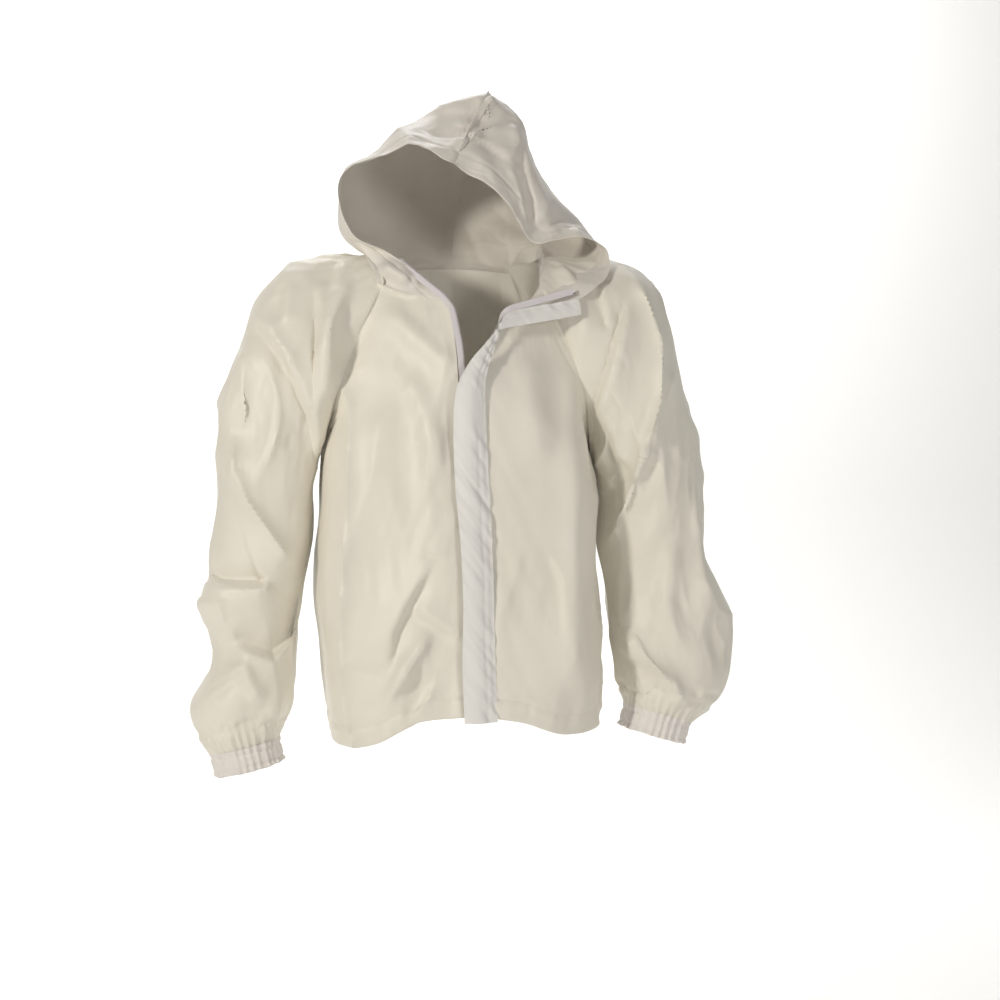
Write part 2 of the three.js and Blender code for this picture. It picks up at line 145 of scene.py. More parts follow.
def normals_of(grid, closed=False, flip=False):
    """Which way the cloth faces at each point of a grid."""
    along = np.gradient(grid, axis=0)
    if closed:
        across = np.roll(grid, -1, axis=1) - np.roll(grid, 1, axis=1)
    else:
        across = np.gradient(grid, axis=1)
    normal = unit(np.cross(across, along))
    return -normal if flip else normal


def grid_faces(index, closed=False, flip=False):
    """Four-sided faces over a grid of point numbers."""
    if closed:
        index = np.concatenate([index, index[:, :1]], axis=1)
    a, b = index[:-1, :-1].ravel(), index[:-1, 1:].ravel()
    c, d = index[1:, 1:].ravel(), index[1:, :-1].ravel()
    quads = np.stack([a, d, c, b] if flip else [a, b, c, d], axis=1)
    return quads.tolist()


def ripple(x, y, z, scale, seed=0.0):
    """Smooth noise from -1 to 1 whose lumps are about scale millimetres across."""
    return noise.noise(Vector((x / scale + seed, y / scale - seed, z / scale + 2 * seed)))


def ripples(points, scale, seed=0.0, stretch=(1, 1, 1)):
    """The same noise at many points, drawn out along x, y or z by stretch."""
    flat = points.reshape(-1, 3) / np.array(stretch, float)
    values = [ripple(x, y, z, scale, seed) for x, y, z in flat]
    return np.array(values).reshape(points.shape[:-1])


# ---------------------------------------------------------------- folds
NO_EDGES = (False, False, False, False)


def distance_to_line(points, line):
    """Signed distance from each (x, z) to a chain of straight lengths, and how far along it, 0 to 1."""
    line = np.asarray(line, float)
    lengths = np.linalg.norm(np.diff(line, axis=0), axis=1)
    total = lengths.sum()
    best = np.full(points.shape[:-1], 1e9)
    signed = np.zeros_like(best)
    along = np.zeros_like(best)
    start = 0.0
    for a, b, length in zip(line[:-1], line[1:], lengths):
        way = (b - a) / length
        offset = points - a
        t = np.clip(offset @ way, 0, length)
        near = np.linalg.norm(offset - t[..., None] * way, axis=-1)
        side = np.sign(way[0] * offset[..., 1] - way[1] * offset[..., 0])
        closer = near < best
        best = np.where(closer, near, best)
        signed = np.where(closer, near * side, signed)
        along = np.where(closer, (start + t) / total, along)
        start += length
    return signed, along


def fold_height(points, line, kind, width, depth, ends=(0.25, 0.25)):
    """How far a fold lifts the cloth: a soft "ridge", a sharp "crease" or a "lap" that hangs to a side."""
    signed, along = distance_to_line(points, line)
    fade = np.clip(along / max(ends[0], 1e-3), 0, 1) * np.clip((1 - along) / max(ends[1], 1e-3), 0, 1)
    fade = fade * fade * (3 - 2 * fade)
    off_end = np.where((along <= 0) | (along >= 1), 0.0, 1.0)
    if kind == "ridge":
        shape = np.exp(-(signed / width) ** 2)
    elif kind == "crease":
        shape = np.exp(-np.abs(signed) / width)
    else:
        shape = np.tanh(signed / LAP_EDGE) * np.exp(-np.abs(signed) / width)
    return FOLD_STRENGTH * depth * fade * off_end * shape


def pressed_folds(grid, normals, folds, front=True, held_edges=NO_EDGES):
    """Moves the cloth that faces forwards, or backwards, straight out by the height of each fold."""
    outward = -1 if front else 1
    no_fold_below = 0.05
    rise = 0.35
    facing = np.clip((outward * normals[..., 1] - no_fold_below) / rise, 0, 1)
    height = np.zeros(grid.shape[:2])
    for fold in folds:
        height += fold_height(grid[..., [0, 2]], *fold)
    moved = grid.copy()
    moved[..., 1] += outward * height * facing * inside_share(grid.shape[:2], held_edges)
    return moved


def inside_share(shape, held_edges, reach=6):
    """1 inside a grid of cloth, falling to 0 at its held edges: first and last row, first and last column."""
    rows, columns = np.indices(shape)
    share = np.ones(shape)
    edges = (rows, shape[0] - 1 - rows, columns, shape[1] - 1 - columns)
    for away, is_held in zip(edges, held_edges):
        if is_held:
            share *= np.clip(away / reach, 0, 1)
    return share


def crumpled(grid, normals, amount, held_edges, seed=0.0):
    """Small flat faces with sharp creases between them, as thin crisp cloth keeps them."""
    height = np.zeros(grid.shape[:2])
    usual_noise = 0.25
    for scale, depth in CRUMPLE_SIZES:
        ridges = np.abs(ripples(grid, scale, seed + scale, (1, 1, CRUMPLE_DRAWN_OUT)))
        height += depth * (usual_noise - ridges)
    patches = np.clip(0.6 + 1.5 * ripples(grid, CRUMPLE_PATCH, seed + 5), 0.1, 1)
    share = inside_share(grid.shape[:2], held_edges)
    return grid + normals * (amount * patches * share * height)[..., None]


def stitched_hollow(grid, normals, depth, at):
    """Draws the cloth in along a row of stitches beside the first row, and leaves puckers round them."""
    distance = distances(row_steps(grid))
    hollow_width = 2.6
    puckered = 0.6 * at
    pull = -depth * np.exp(-((distance - at) / hollow_width) ** 2)
    band = np.exp(-((distance - puckered) / puckered) ** 4)
    puckers = 0.9 * ripples(grid, 11, 4.0, (1, 1, 2.5)) + 0.6 * ripples(grid, 24, 6.0)
    return grid + normals * (pull + band * depth * puckers)[..., None]


# Each fold: its line as (x, z), kind, width, depth and how much of each end fades away.
front_folds = [
    ([(-294, -70), (-278, -93), (-255, -127), (-233, -164), (-212, -211), (-204, -249), (-201, -304)],
     "lap", 20, 9, (0.15, 0.2)),
    ([(-206, -24), (-200, -63), (-201, -132), (-205, -193), (-206, -232)], "lap", 11, 6, (0.3, 0.3)),
    ([(-166, 7), (-185, -42)], "lap", 10, 5),
    ([(-244, -26), (-252, -92)], "lap", 10, 5),
    ([(-259, -20), (-268, -56)], "lap", 8, 4),
    ([(-154, -18), (-183, -87), (-189, -136), (-189, -222)], "ridge", 11, 9, (0.3, 0.35)),
    ([(-185, -132), (-160, -204), (-163, -334), (-167, -399), (-172, -517), (-168, -621), (-150, -690)],
     "crease", 16, 10, (0.12, 0.02)),
    ([(-304, -97), (-305, -240)], "crease", 13, 8),
    ([(-316, -233), (-318, -292), (-299, -334), (-255, -395), (-227, -429)], "crease", 12, 10, (0.2, 0.15)),
    ([(-268, -440), (-278, -450), (-304, -450), (-344, -448), (-374, -460)], "lap", 24, 12, (0.15, 0.1)),
    ([(-344, -450), (-330, -502), (-310, -530)], "crease", 12, 7),
    ([(-223, -445), (-233, -520), (-262, -551), (-325, -530)], "lap", 22, 11, (0.2, 0.2)),
    ([(-338, -571), (-304, -565), (-285, -598), (-281, -622)], "ridge", 10, 6),
    ([(-40, -405), (-81, -479), (-97, -512), (-109, -570)], "lap", 18, -6, (0.4, 0.3)),
    ([(-82, -478), (-6, -528)], "lap", 14, 5, (0.3, 0.3)),
    ([(-45, -500), (-118, -618)], "ridge", 10, 6, (0.3, 0.3)),
    ([(-40, -570), (-80, -632)], "lap", 12, 4, (0.4, 0.2)),
    ([(-172, -556), (-104, -569)], "lap", 10, 3, (0.3, 0.4)),
    ([(-58, -402), (-28, -412)], "lap", 7, 2.5),
    ([(-118, -60), (-17, -160)], "ridge", 15, 4),
    ([(-90, -130), (-21, -334)], "ridge", 18, 5),
    ([(-120, -19), (-112, -34), (-80, -49), (-62, -51)], "lap", 9, 5, (0.2, 0.3)),
    ([(158, -97), (158, -178), (153, -340), (149, -604)], "ridge", 22, 8, (0.25, 0.1)),
    ([(108, -398), (130, -445), (134, -524)], "lap", 10, 3.5, (0.3, 0.4)),
    ([(90, -120), (96, -300)], "ridge", 25, 4),
    ([(237, -44), (210, -138), (187, -232)], "lap", 15, 7, (0.2, 0.3)),
    ([(236, 6), (264, -50), (283, -112), (279, -187), (233, -336), (203, -415)],
     "crease", 15, 11, (0.12, 0.15)),
    ([(309, -140), (264, -262)], "crease", 12, 7),
    ([(212, -222), (220, -274), (236, -296)], "lap", 10, 5),
    ([(188, -344), (215, -317), (221, -296)], "lap", 10, 5),
    ([(207, -484), (249, -540), (320, -624)], "crease", 13, 11, (0.2, 0.1)),
    ([(221, -536), (253, -561), (312, -606)], "lap", 9, 6),
    ([(195, -24), (208, -100)], "lap", 9, 4),
    ([(340, -300), (352, -420), (345, -520)], "ridge", 16, 5),
    ([(300, -380), (290, -480), (318, -560)], "ridge", 15, 5),
]
back_folds = [
    ([(-120, -80), (-150, -200), (-140, -400), (-130, -640)], "ridge", 20, 9, (0.3, 0.05)),
    ([(-60, -40), (-52, -220), (-60, -500)], "ridge", 24, 5),
    ([(60, -60), (55, -260), (48, -640)], "ridge", 22, 6, (0.3, 0.05)),
    ([(118, -90), (140, -260), (132, -520)], "crease", 20, 7),
    ([(-170, -160), (-214, -300), (-205, -380)], "lap", 16, 7),
    ([(176, -160), (216, -300), (210, -390)], "lap", 16, -7),
    ([(-240, -20), (-290, -140), (-330, -320)], "ridge", 16, 8),
    ([(250, -20), (300, -140), (345, -320)], "ridge", 16, 8),
    ([(-372, -436), (-330, -452), (-270, -462)], "lap", 16, 6),
    ([(392, -476), (350, -490), (270, -520)], "lap", 16, 6),
    ([(-340, -520), (-290, -590), (-285, -650)], "crease", 14, 8),
    ([(380, -540), (320, -590), (300, -620)], "crease", 14, 8),
    ([(-110, -540), (-60, -590), (-40, -640)], "ridge", 14, 5, (0.4, 0.05)),
    ([(-80, -150), (-30, -190), (30, -212)], "lap", 16, 3, (0.4, 0.4)),
]

# ---------------------------------------------------------------- the cut of the body and the sleeves
# Rows climb from the hem to the neckline, and each runs from the side seam to the zip.
right_front_net = [
    [(-184, 22, -656), (-176, -85, -668), (-122, -138, -664), (-62, -150, -634), (3, -152, -628)],
    [(-196, 22, -560), (-182, -85, -562), (-125, -135, -562), (-62, -148, -560), (1, -151, -560)],
    [(-206, 22, -450), (-188, -85, -450), (-125, -132, -450), (-62, -146, -450), (-3, -150, -450)],
    [(-198, 17, -340), (-186, -80, -340), (-125, -130, -340), (-63, -144, -340), (-6, -149, -340)],
    [(-195, 7, -265), (-178, -70, -255), (-125, -124, -250), (-65, -140, -250), (-9, -148, -250)],
    [(-176, -61, -190), (-148, -90, -190), (-100, -118, -188), (-55, -134, -184), (-12, -146, -178)],
    [(-147, -76, -107), (-115, -95, -114), (-82, -110, -120), (-48, -121, -122), (-15, -132, -120)],
    [(-111, -80, -35), (-90, -88, -44), (-68, -96, -50), (-44, -103, -55), (-23, -110, -59)],
]
left_front_net = [
    [(213, 20, -618), (196, -78, -650), (140, -130, -656), (78, -148, -638), (25, -152, -628)],
    [(214, 22, -560), (192, -82, -562), (135, -134, -560), (80, -147, -560), (23, -151, -560)],
    [(206, 22, -450), (188, -85, -450), (132, -132, -450), (77, -146, -450), (20, -150, -450)],
    [(198, 17, -340), (186, -80, -340), (130, -130, -340), (73, -144, -340), (16, -149, -340)],
    [(195, 7, -265), (178, -70, -255), (128, -124, -250), (70, -140, -250), (13, -148, -250)],
    [(176, -61, -190), (148, -90, -190), (105, -116, -188), (62, -133, -184), (15, -145, -178)],
    [(147, -76, -107), (122, -90, -112), (97, -103, -114), (68, -114, -116), (40, -122, -124)],
    [(111, -80, -35), (98, -84, -50), (86, -92, -60), (72, -100, -70), (57, -108, -80)],
]


def both_sides(half_row):
    """A row from side to side that is the same on both, from its left half with the middle point last."""
    return [(-x, y, z) for x, y, z in half_row[:-1]] + half_row[::-1]


back_net = [
    [(-184, 22, -656), (-160, 90, -650), (-90, 128, -644), (5, 138, -640), (100, 128, -640), (182, 90, -634),
     (213, 20, -618)],
    [(-196, 22, -560), (-172, 92, -560), (-95, 130, -560), (3, 140, -560), (105, 130, -560), (188, 92, -560),
     (214, 22, -560)],
    both_sides([(206, 22, -450), (178, 95, -450), (98, 134, -450), (0, 146, -450)]),
    both_sides([(198, 17, -340), (172, 90, -340), (98, 132, -340), (0, 146, -340)]),
    both_sides([(195, 7, -265), (166, 78, -255), (98, 124, -250), (0, 140, -250)]),
    both_sides([(171, 64, -177), (130, 93, -172), (70, 116, -166), (0, 126, -162)]),
    both_sides([(129, 75, -91), (95, 88, -86), (50, 100, -81), (0, 106, -79)]),
    both_sides([(84, 64, 3), (60, 71, 6), (32, 77, 9), (0, 79, 10)]),
]
NECK_OVER_SHOULDER = [(124, -44, 6), (126, 0, 20), (112, 42, 16)]
UNDERARM_ROW = 4
RING_POINTS = 10             # points round each ring of a sleeve
SHOULDER_SPANS = slice(3 * ROWS_PER_SPAN, 7 * ROWS_PER_SPAN + 1)      # where a sleeve's top meets the hood

# Rings round each arm: outer [x, z], inner [x, z], middle and half depth from front to back.
right_sleeve_sections = [
    [(228, 3), (201, -278), -2, 90], [(282, -38), (203, -298), 0, 88], [(305, -98), (205, -322), 0, 84],
    [(332, -190), (206, -350), 0, 80], [(338, -290), (208, -392), 0, 77], [(353, -448), (220, -448), 0, 74],
    [(368, -478), (224, -480), -2, 74], [(346, -516), (228, -515), -5, 68],
    [(348, -565), (229, -560), -9, 65],
    [(378, -620), (231, -610), -14, 66], [(368, -664), (246, -640), -18, 58],
    [(353, -690), (255, -667), -20, 49],
]
left_sleeve_sections = [
    [(236, 14), (201, -278), -2, 90], [(290, -28), (203, -298), 0, 88], [(318, -92), (205, -322), 0, 85],
    [(334, -185), (206, -350), 0, 82], [(354, -285), (208, -392), 0, 80], [(384, -448), (218, -448), 0, 78],
    [(396, -500), (224, -492), -4, 78], [(401, -545), (231, -535), -8, 76],
    [(397, -588), (237, -575), -13, 72],
    [(376, -625), (240, -602), -17, 62], [(341, -656), (243, -626), -20, 49],
]


def arm_ring(side, outer, inner, middle, deep):
    """A ring of points round the arm, from the inner side forwards, out and back."""
    turn = 2 * np.pi * np.arange(RING_POINTS) / RING_POINTS
    share = (1 + np.cos(turn)) / 2
    x = side * (outer[0] + (inner[0] - outer[0]) * share)
    z = outer[1] + (inner[1] - outer[1]) * share
    return np.stack([x, middle - deep * np.sin(turn), z], axis=1)


def sleeve_grid(side, front_net, sections):
    """The sleeve from the raglan seam and the side of the neckline down to the cuff."""
    column = 0 if side < 0 else -1
    front_seam = [row[0] for row in front_net[UNDERARM_ROW:]]
    back_seam = [row[column] for row in back_net[UNDERARM_ROW + 1:]]
    over_shoulder = [(side * x, y, z) for x, y, z in NECK_OVER_SHOULDER]
    loop = np.array(front_seam + over_shoulder + back_seam[::-1], float)
    net = [loop] + [arm_ring(side, *section) for section in sections]
    return even_rows(surface(net, 6, ROWS_PER_SPAN, closed=True), SLEEVE_ROWS)


def weld(front_right, front_left, back, sleeve_right, sleeve_left):
    """Numbers the points of the five pieces so that sewn edges share theirs."""
    points = []

    def number(grid, shared):
        index = np.full(grid.shape[:2], -1, int)
        for (rows, columns), numbers in shared:
            index[rows, columns] = numbers
        for place in np.argwhere(index < 0):
            index[tuple(place)] = len(points)
            points.append(grid[tuple(place)])
        return index

    under = UNDERARM_ROW * ROWS_PER_SPAN
    top = (len(back_net) - 1) * ROWS_PER_SPAN
    ring = RING_POINTS * ROWS_PER_SPAN
    side_rows = np.arange(under + 1)
    seam = top - under
    numbered_right = number(front_right, [])
    numbered_left = number(front_left, [])
    last = back.shape[1] - 1
    numbered_back = number(back, [((side_rows, 0), numbered_right[:under + 1, 0]),
                                  ((side_rows, last), numbered_left[:under + 1, 0])])

    def join_sleeve(grid, numbered_front, back_column):
        front_columns = np.arange(seam + 1)
        back_columns = np.arange(ring - seam, ring)
        back_rows = top - (back_columns - (ring - seam))
        return number(grid, [((0, front_columns), numbered_front[under:, 0]),
                             ((0, back_columns), numbered_back[back_rows, back_column])])

    numbered_sleeves = [join_sleeve(sleeve_right, numbered_right, 0),
                        join_sleeve(sleeve_left, numbered_left, last)]
    return np.array(points), [numbered_right, numbered_left, numbered_back, *numbered_sleeves]


def settle(name, points, cut, faces, held, ripple_scale, seeds):
    """Lets cloth buckle and hang near where it starts. Points are millimetres and held is 0 to 1 for each.
    cut is where the points would lie if the cloth were spread to its full size. The cloth that is not held
    starts a little uneven, so that it doesn't buckle everywhere alike."""
    uneven = 2.0
    start = points + uneven * np.stack([ripples(points, ripple_scale, seed) for seed in seeds], axis=-1)
    firm = held == FIRM
    start[firm] = points[firm]
    mesh = bpy.data.meshes.new(name)
    mesh.from_pydata((start * MM).tolist(), [], faces)
    cloth_object = bpy.data.objects.new(name, mesh)
    scene.collection.objects.link(cloth_object)
    group = cloth_object.vertex_groups.new(name="held")
    steps = np.round(held, 2)
    for step in np.unique(steps):
        group.add(np.flatnonzero(steps == step).tolist(), float(step), "REPLACE")
    cloth_object.shape_key_add(name="start")
    full_size = cloth_object.shape_key_add(name="full size")
    full_size.data.foreach_set("co", (cut * MM).ravel())
    full_size.value = 0
    cloth = cloth_object.modifiers.new("Cloth", "CLOTH")
    settings = cloth.settings
    settings.quality = 5
    settings.mass = 0.2
    settings.tension_stiffness = 14
    settings.compression_stiffness = 14
    settings.shear_stiffness = 6
    settings.bending_stiffness = 0.8
    settings.tension_damping = 6
    settings.compression_damping = 6
    settings.shear_damping = 6
    settings.air_damping = 2.5
    settings.vertex_group_mass = "held"
    settings.pin_stiffness = 1.0
    settings.rest_shape_key = full_size
    settings.effector_weights.gravity = 0.3
    cloth.collision_settings.use_collision = False
    cloth.point_cache.frame_start = 1
    cloth.point_cache.frame_end = SETTLE_FRAMES
    for step in range(1, SETTLE_FRAMES + 1):
        scene.frame_set(step)
    evaluated = cloth_object.evaluated_get(bpy.context.evaluated_depsgraph_get())
    moved = np.zeros(len(points) * 3)
    evaluated.data.vertices.foreach_get("co", moved)
    bpy.data.objects.remove(cloth_object)
    scene.frame_set(1)
    return moved.reshape(-1, 3) / MM


def body_and_sleeves():
    """The five panels below the hood, sewn along their seams and settled as one cloth."""
    front_right = surface(right_front_net, ROWS_PER_SPAN, COLUMNS_PER_SPAN)
    front_left = surface(left_front_net, ROWS_PER_SPAN, COLUMNS_PER_SPAN)
    back = surface(back_net, ROWS_PER_SPAN, COLUMNS_PER_SPAN)
    sleeves = [sleeve_grid(-1, right_front_net, right_sleeve_sections),
               sleeve_grid(1, left_front_net, left_sleeve_sections)]
    points, numbered = weld(front_right, front_left, back, *sleeves)
    flips = [False, True, True, False, True]
    closed = [False, False, False, True, True]
    faces = []
    for index, flip, ring in zip(numbered, flips, closed):
        faces += grid_faces(index, ring, flip)
    held = np.full(len(points), BODY_HOLD)
    for index in numbered[:3]:
        neckline_row, hem_rows = index[-1], index[:4]
        held[neckline_row] = FIRM
        held[hem_rows] = HEM_HOLD
    for index in numbered[:2]:
        beside_zip = index[:, -3:]
        held[beside_zip] = FIRM
    for index in numbered[3:]:
        beside_hood, beside_cuff = index[0, SHOULDER_SPANS], index[-3:]
        held[beside_hood] = FIRM
        held[beside_cuff] = FIRM
    cut = points * BODY_SPARE
    for index, grid in zip(numbered[3:], sleeves):
        centre = grid.mean(axis=1, keepdims=True)
        spread = centre * (1, 1, SLEEVE_SPARE[2]) + (grid - centre) * SLEEVE_SPARE
        share = np.clip(np.arange(SLEEVE_ROWS) / SLEEVE_FADE_ROWS, 0, 1)[:, None, None]
        share = share * share * (3 - 2 * share)
        cut[index] = points[index] * BODY_SPARE * (1 - share) + spread * share
    moved = settle("body", points, cut, faces, held, 60, (3.1, 7.7, 5.3))
    return [moved[index] for index in numbered], flips, closed


# ---------------------------------------------------------------- making pieces
def add_piece(name, points, faces, material, uv=None):
    """A smooth piece from points in millimetres and, for cloth, its distances over the cloth."""
    mesh = bpy.data.meshes.new(name)
    mesh.from_pydata((np.asarray(points) * MM).tolist(), [], faces)
    mesh.validate()
    mesh.materials.append(material)
    mesh.polygons.foreach_set("use_smooth", [True] * len(mesh.polygons))
    if uv is not None:
        layer = mesh.uv_layers.new(name="cloth")
        corners = np.zeros(len(mesh.loops), int)
        mesh.loops.foreach_get("vertex_index", corners)
        layer.data.foreach_set("uv", (np.asarray(uv)[corners] * MM).ravel())
    piece = bpy.data.objects.new(name, mesh)
    scene.collection.objects.link(piece)
    return piece


def apply_modifiers(piece):
    """Makes all the modifiers of a piece part of its mesh."""
    bpy.ops.object.select_all(action="DESELECT")
    bpy.context.view_layer.objects.active = piece
    piece.select_set(True)
    for modifier in list(piece.modifiers):
        bpy.ops.object.modifier_apply(modifier=modifier.name)
    piece.select_set(False)


def smooth_but_for_edges(piece, degrees):
    """Smooth shading, but for edges sharper than the angle."""
    bpy.context.view_layer.objects.active = piece
    piece.select_set(True)
    bpy.ops.object.shade_smooth_by_angle(angle=math.radians(degrees))
    piece.select_set(False)


def thicken(piece, thickness):
    """Gives a single surface the thickness of its cloth, half of it to each side."""
    solid = piece.modifiers.new("Cloth thickness", "SOLIDIFY")
    solid.thickness = thickness * MM
    solid.offset = 0
    solid.use_rim = True
    apply_modifiers(piece)
    smooth_but_for_edges(piece, 50)


def cloth_uv(grid):
    """Distances over the cloth in millimetres, so that the weave keeps its size."""
    u = distances(np.linalg.norm(np.diff(grid, axis=1), axis=2).mean(axis=0))
    v = distances(row_steps(grid).mean(axis=1))
    return np.stack(np.meshgrid(u, v), axis=-1)


def turned_under(grid, normals, depth, gap=1.1):
    """Adds the cloth that is folded back inside along the first row, with a soft rounded edge."""
    distance = distances(row_steps(grid).mean(axis=1))
    count = max(int(np.searchsorted(distance, depth)), 2)
    inner = grid[1:count + 1] - normals[1:count + 1] * gap
    edge = grid[:1] - normals[:1] * gap * 0.5 - unit(grid[1:2] - grid[:1]) * gap * 0.6
    return np.concatenate([inner[::-1], edge, grid], axis=0)


def row_at(grid, normals, depth):
    """The line on the cloth at a distance in from its first row, with the cloth's normals there."""
    distance = distances(row_steps(grid))
    line = []
    up = []
    for column in range(grid.shape[1]):
        at = np.interp(depth, distance[:, column], np.arange(grid.shape[0]))
        low = int(min(at, grid.shape[0] - 2))
        share = at - low
        line.append(grid[low, column] * (1 - share) + grid[low + 1, column] * share)
        up.append(normals[low, column] * (1 - share) + normals[low + 1, column] * share)
    return np.array(line), unit(np.array(up))


def shape_of(piece):
    """The points and faces of a piece modelled once, to be copied; the piece itself goes."""
    points = np.array([vertex.co for vertex in piece.data.vertices])
    faces = [tuple(face.vertices) for face in piece.data.polygons]
    bpy.data.objects.remove(piece)
    return points, faces


def made_size(piece, scale):
    """Turns and sizes a small shape in its own mesh."""
    bpy.ops.object.transform_apply(rotation=True)
    piece.scale = scale
    bpy.ops.object.transform_apply(scale=True)


def one_stitch():
    """A thread bar along x, lying on the cloth, in millimetres."""
    bpy.ops.mesh.primitive_uv_sphere_add(segments=6, ring_count=5, radius=1, rotation=(0, math.pi / 2, 0))
    piece = bpy.context.object
    made_size(piece, (STITCH_LENGTH / 2, STITCH_RADIUS, STITCH_RADIUS))
    return shape_of(piece)


def one_coil_turn():
    """A flattened loop of the coil round its cord; x runs along the chain and y towards the sewn edge."""
    bpy.ops.mesh.primitive_torus_add(major_segments=9, minor_segments=4, major_radius=1.15,
                                     minor_radius=0.4, rotation=(0, math.pi / 2, 0))
    piece = bpy.context.object
    made_size(piece, (1.15, 1, 0.42))
    bpy.ops.object.mode_set(mode="EDIT")
    bpy.ops.mesh.select_all(action="SELECT")
    bpy.ops.transform.translate(value=(0, 1.4, 0.1))
    bpy.ops.object.mode_set(mode="OBJECT")
    return shape_of(piece)


def copies(name, shape, places, material):
    """One piece made of many copies of a shape, each at a place with its own three directions."""
    base, base_faces = shape
    points = []
    faces = []
    for middle, ahead, side, up in places:
        first = len(points) * len(base)
        points.append(middle + base @ np.array([ahead, side, up]))
        faces += [tuple(first + corner for corner in face) for face in base_faces]
    return add_piece(name, np.concatenate(points), faces, material)


def stitches(name, rows, material, lift=0.35):
    """Rows of thread bars lying on the cloth."""
    places = []
    for line, up in rows:
        at = distances(np.linalg.norm(np.diff(line, axis=0), axis=1))
        for start in np.arange(STITCH_PITCH, at[-1] - STITCH_PITCH, STITCH_PITCH):
            before, here, after = (read_along(start + step, at, line)
                                   for step in (-STITCH_LENGTH / 2, 0, STITCH_LENGTH / 2))
            ahead = unit(after - before)
            side = unit(np.cross(read_along(start, at, up), ahead))
            normal = np.cross(ahead, side)
            places.append((here + normal * lift, ahead, side, normal))
    return copies(name, one_stitch(), places, material)


# ---------------------------------------------------------------- materials
def node_group(name, inputs, outputs):
    """An empty node group with named inputs and outputs."""
    group = bpy.data.node_groups.new(name, "ShaderNodeTree")
    for label, kind, value in inputs:
        socket = group.interface.new_socket(name=label, in_out="INPUT", socket_type=kind)
        if value is not None:
            socket.default_value = value
    for label, kind in outputs:
        group.interface.new_socket(name=label, in_out="OUTPUT", socket_type=kind)
    return group, group.nodes.new("NodeGroupInput"), group.nodes.new("NodeGroupOutput")


def math_node(tree, operation, first, second=None):
    """One step of arithmetic on a mask or a number; each input is a number or another node's output."""
    node = tree.nodes.new("ShaderNodeMath")
    node.operation = operation
    for place, value in enumerate((first, second)):
        if value is None:
            continue
        if isinstance(value, (int, float)):
            node.inputs[place].default_value = value
        else:
            tree.links.new(value, node.inputs[place])
    return node.outputs[0]


def noise_texture(tree, place, scale, detail, roughness=0.5):
    """Soft procedural noise at this place; detail adds finer lumps."""
    lumps = tree.nodes.new("ShaderNodeTexNoise")
    lumps.inputs["Scale"].default_value = scale
    lumps.inputs["Detail"].default_value = detail
    lumps.inputs["Roughness"].default_value = roughness
    tree.links.new(place, lumps.inputs["Vector"])
    return lumps


def add_bump(tree, shader, height, strength, distance):
    """Raises the surface by a height from 0 to 1 times the distance in metres."""
    bump = tree.nodes.new("ShaderNodeBump")
    bump.inputs["Strength"].default_value = strength
    bump.inputs["Distance"].default_value = distance
    tree.links.new(height, bump.inputs["Height"])
    tree.links.new(bump.outputs[0], shader.inputs["Normal"])


def weave_group():
    """A plain weave on the cloth's own distances: its height, from 0 to 1, and a thread-to-thread tint."""
    group, given, put = node_group(
        "plain weave", [("Place", "NodeSocketVector", None), ("Threads", "NodeSocketFloat", 1.0)],
        [("Height", "NodeSocketFloat"), ("Tint", "NodeSocketFloat")])
    split = group.nodes.new("ShaderNodeSeparateXYZ")
    group.links.new(given.outputs["Place"], split.inputs[0])
    waves = []
    for axis in (0, 1):
        scaled = math_node(group, "MULTIPLY", split.outputs[axis], given.outputs["Threads"])
        waves.append(math_node(group, "SINE", scaled))
    product = math_node(group, "MULTIPLY", waves[0], waves[1])
    half = math_node(group, "MULTIPLY", product, 0.5)
    group.links.new(math_node(group, "ADD", half, 0.5), put.inputs["Height"])
    stretch = group.nodes.new("ShaderNodeMapping")
    stretch.inputs["Scale"].default_value = (60, 900, 1)
    group.links.new(given.outputs["Place"], stretch.inputs["Vector"])
    slubs = noise_texture(group, stretch.outputs[0], 1.0, 2.0)
    group.links.new(slubs.outputs["Fac"], put.inputs["Tint"])
    return group


def crumple_group():
    """Fine handling marks that a thin, crisp cloth keeps: a mask from 0 to 1."""
    group, given, put = node_group(
        "handling marks", [("Place", "NodeSocketVector", None), ("Size", "NodeSocketFloat", 30.0)],
        [("Mask", "NodeSocketFloat")])
    bend = noise_texture(group, given.outputs["Place"], 9.0, 2.0)
    shift = group.nodes.new("ShaderNodeVectorMath")
    shift.operation = "MULTIPLY_ADD"
    shift.inputs[1].default_value = (0.05, 0.05, 0.05)
    group.links.new(bend.outputs["Color"], shift.inputs[0])
    group.links.new(given.outputs["Place"], shift.inputs[2])
    cells = group.nodes.new("ShaderNodeTexVoronoi")
    cells.feature = "SMOOTH_F1"
    cells.inputs["Smoothness"].default_value = 0.35
    group.links.new(shift.outputs[0], cells.inputs["Vector"])
    group.links.new(given.outputs["Size"], cells.inputs["Scale"])
    group.links.new(cells.outputs["Distance"], put.inputs["Mask"])
    return group


def soil_group():
    """Slow changes of tone over a piece, as light wear, dust and ageing leave on white cloth."""
    group, given, put = node_group(
        "tone", [("Place", "NodeSocketVector", None)], [("Mask", "NodeSocketFloat")])
    slow = noise_texture(group, given.outputs["Place"], 5.0, 5.0, 0.6)
    group.links.new(slow.outputs["Fac"], put.inputs["Mask"])
    return group


THREAD_TINT = 0.10           # how strongly single threads differ in colour
THREAD_SHADE = 0.86          # the darkest thread beside the dark cloth
WEAVE = weave_group()
MARKS = crumple_group()
TONE = soil_group()


def placed(tree, group, place):
    """A node group put into a material, reading its pattern's place."""
    node = tree.nodes.new("ShaderNodeGroup")
    node.node_tree = group
    tree.links.new(place, node.inputs["Place"])
    return node


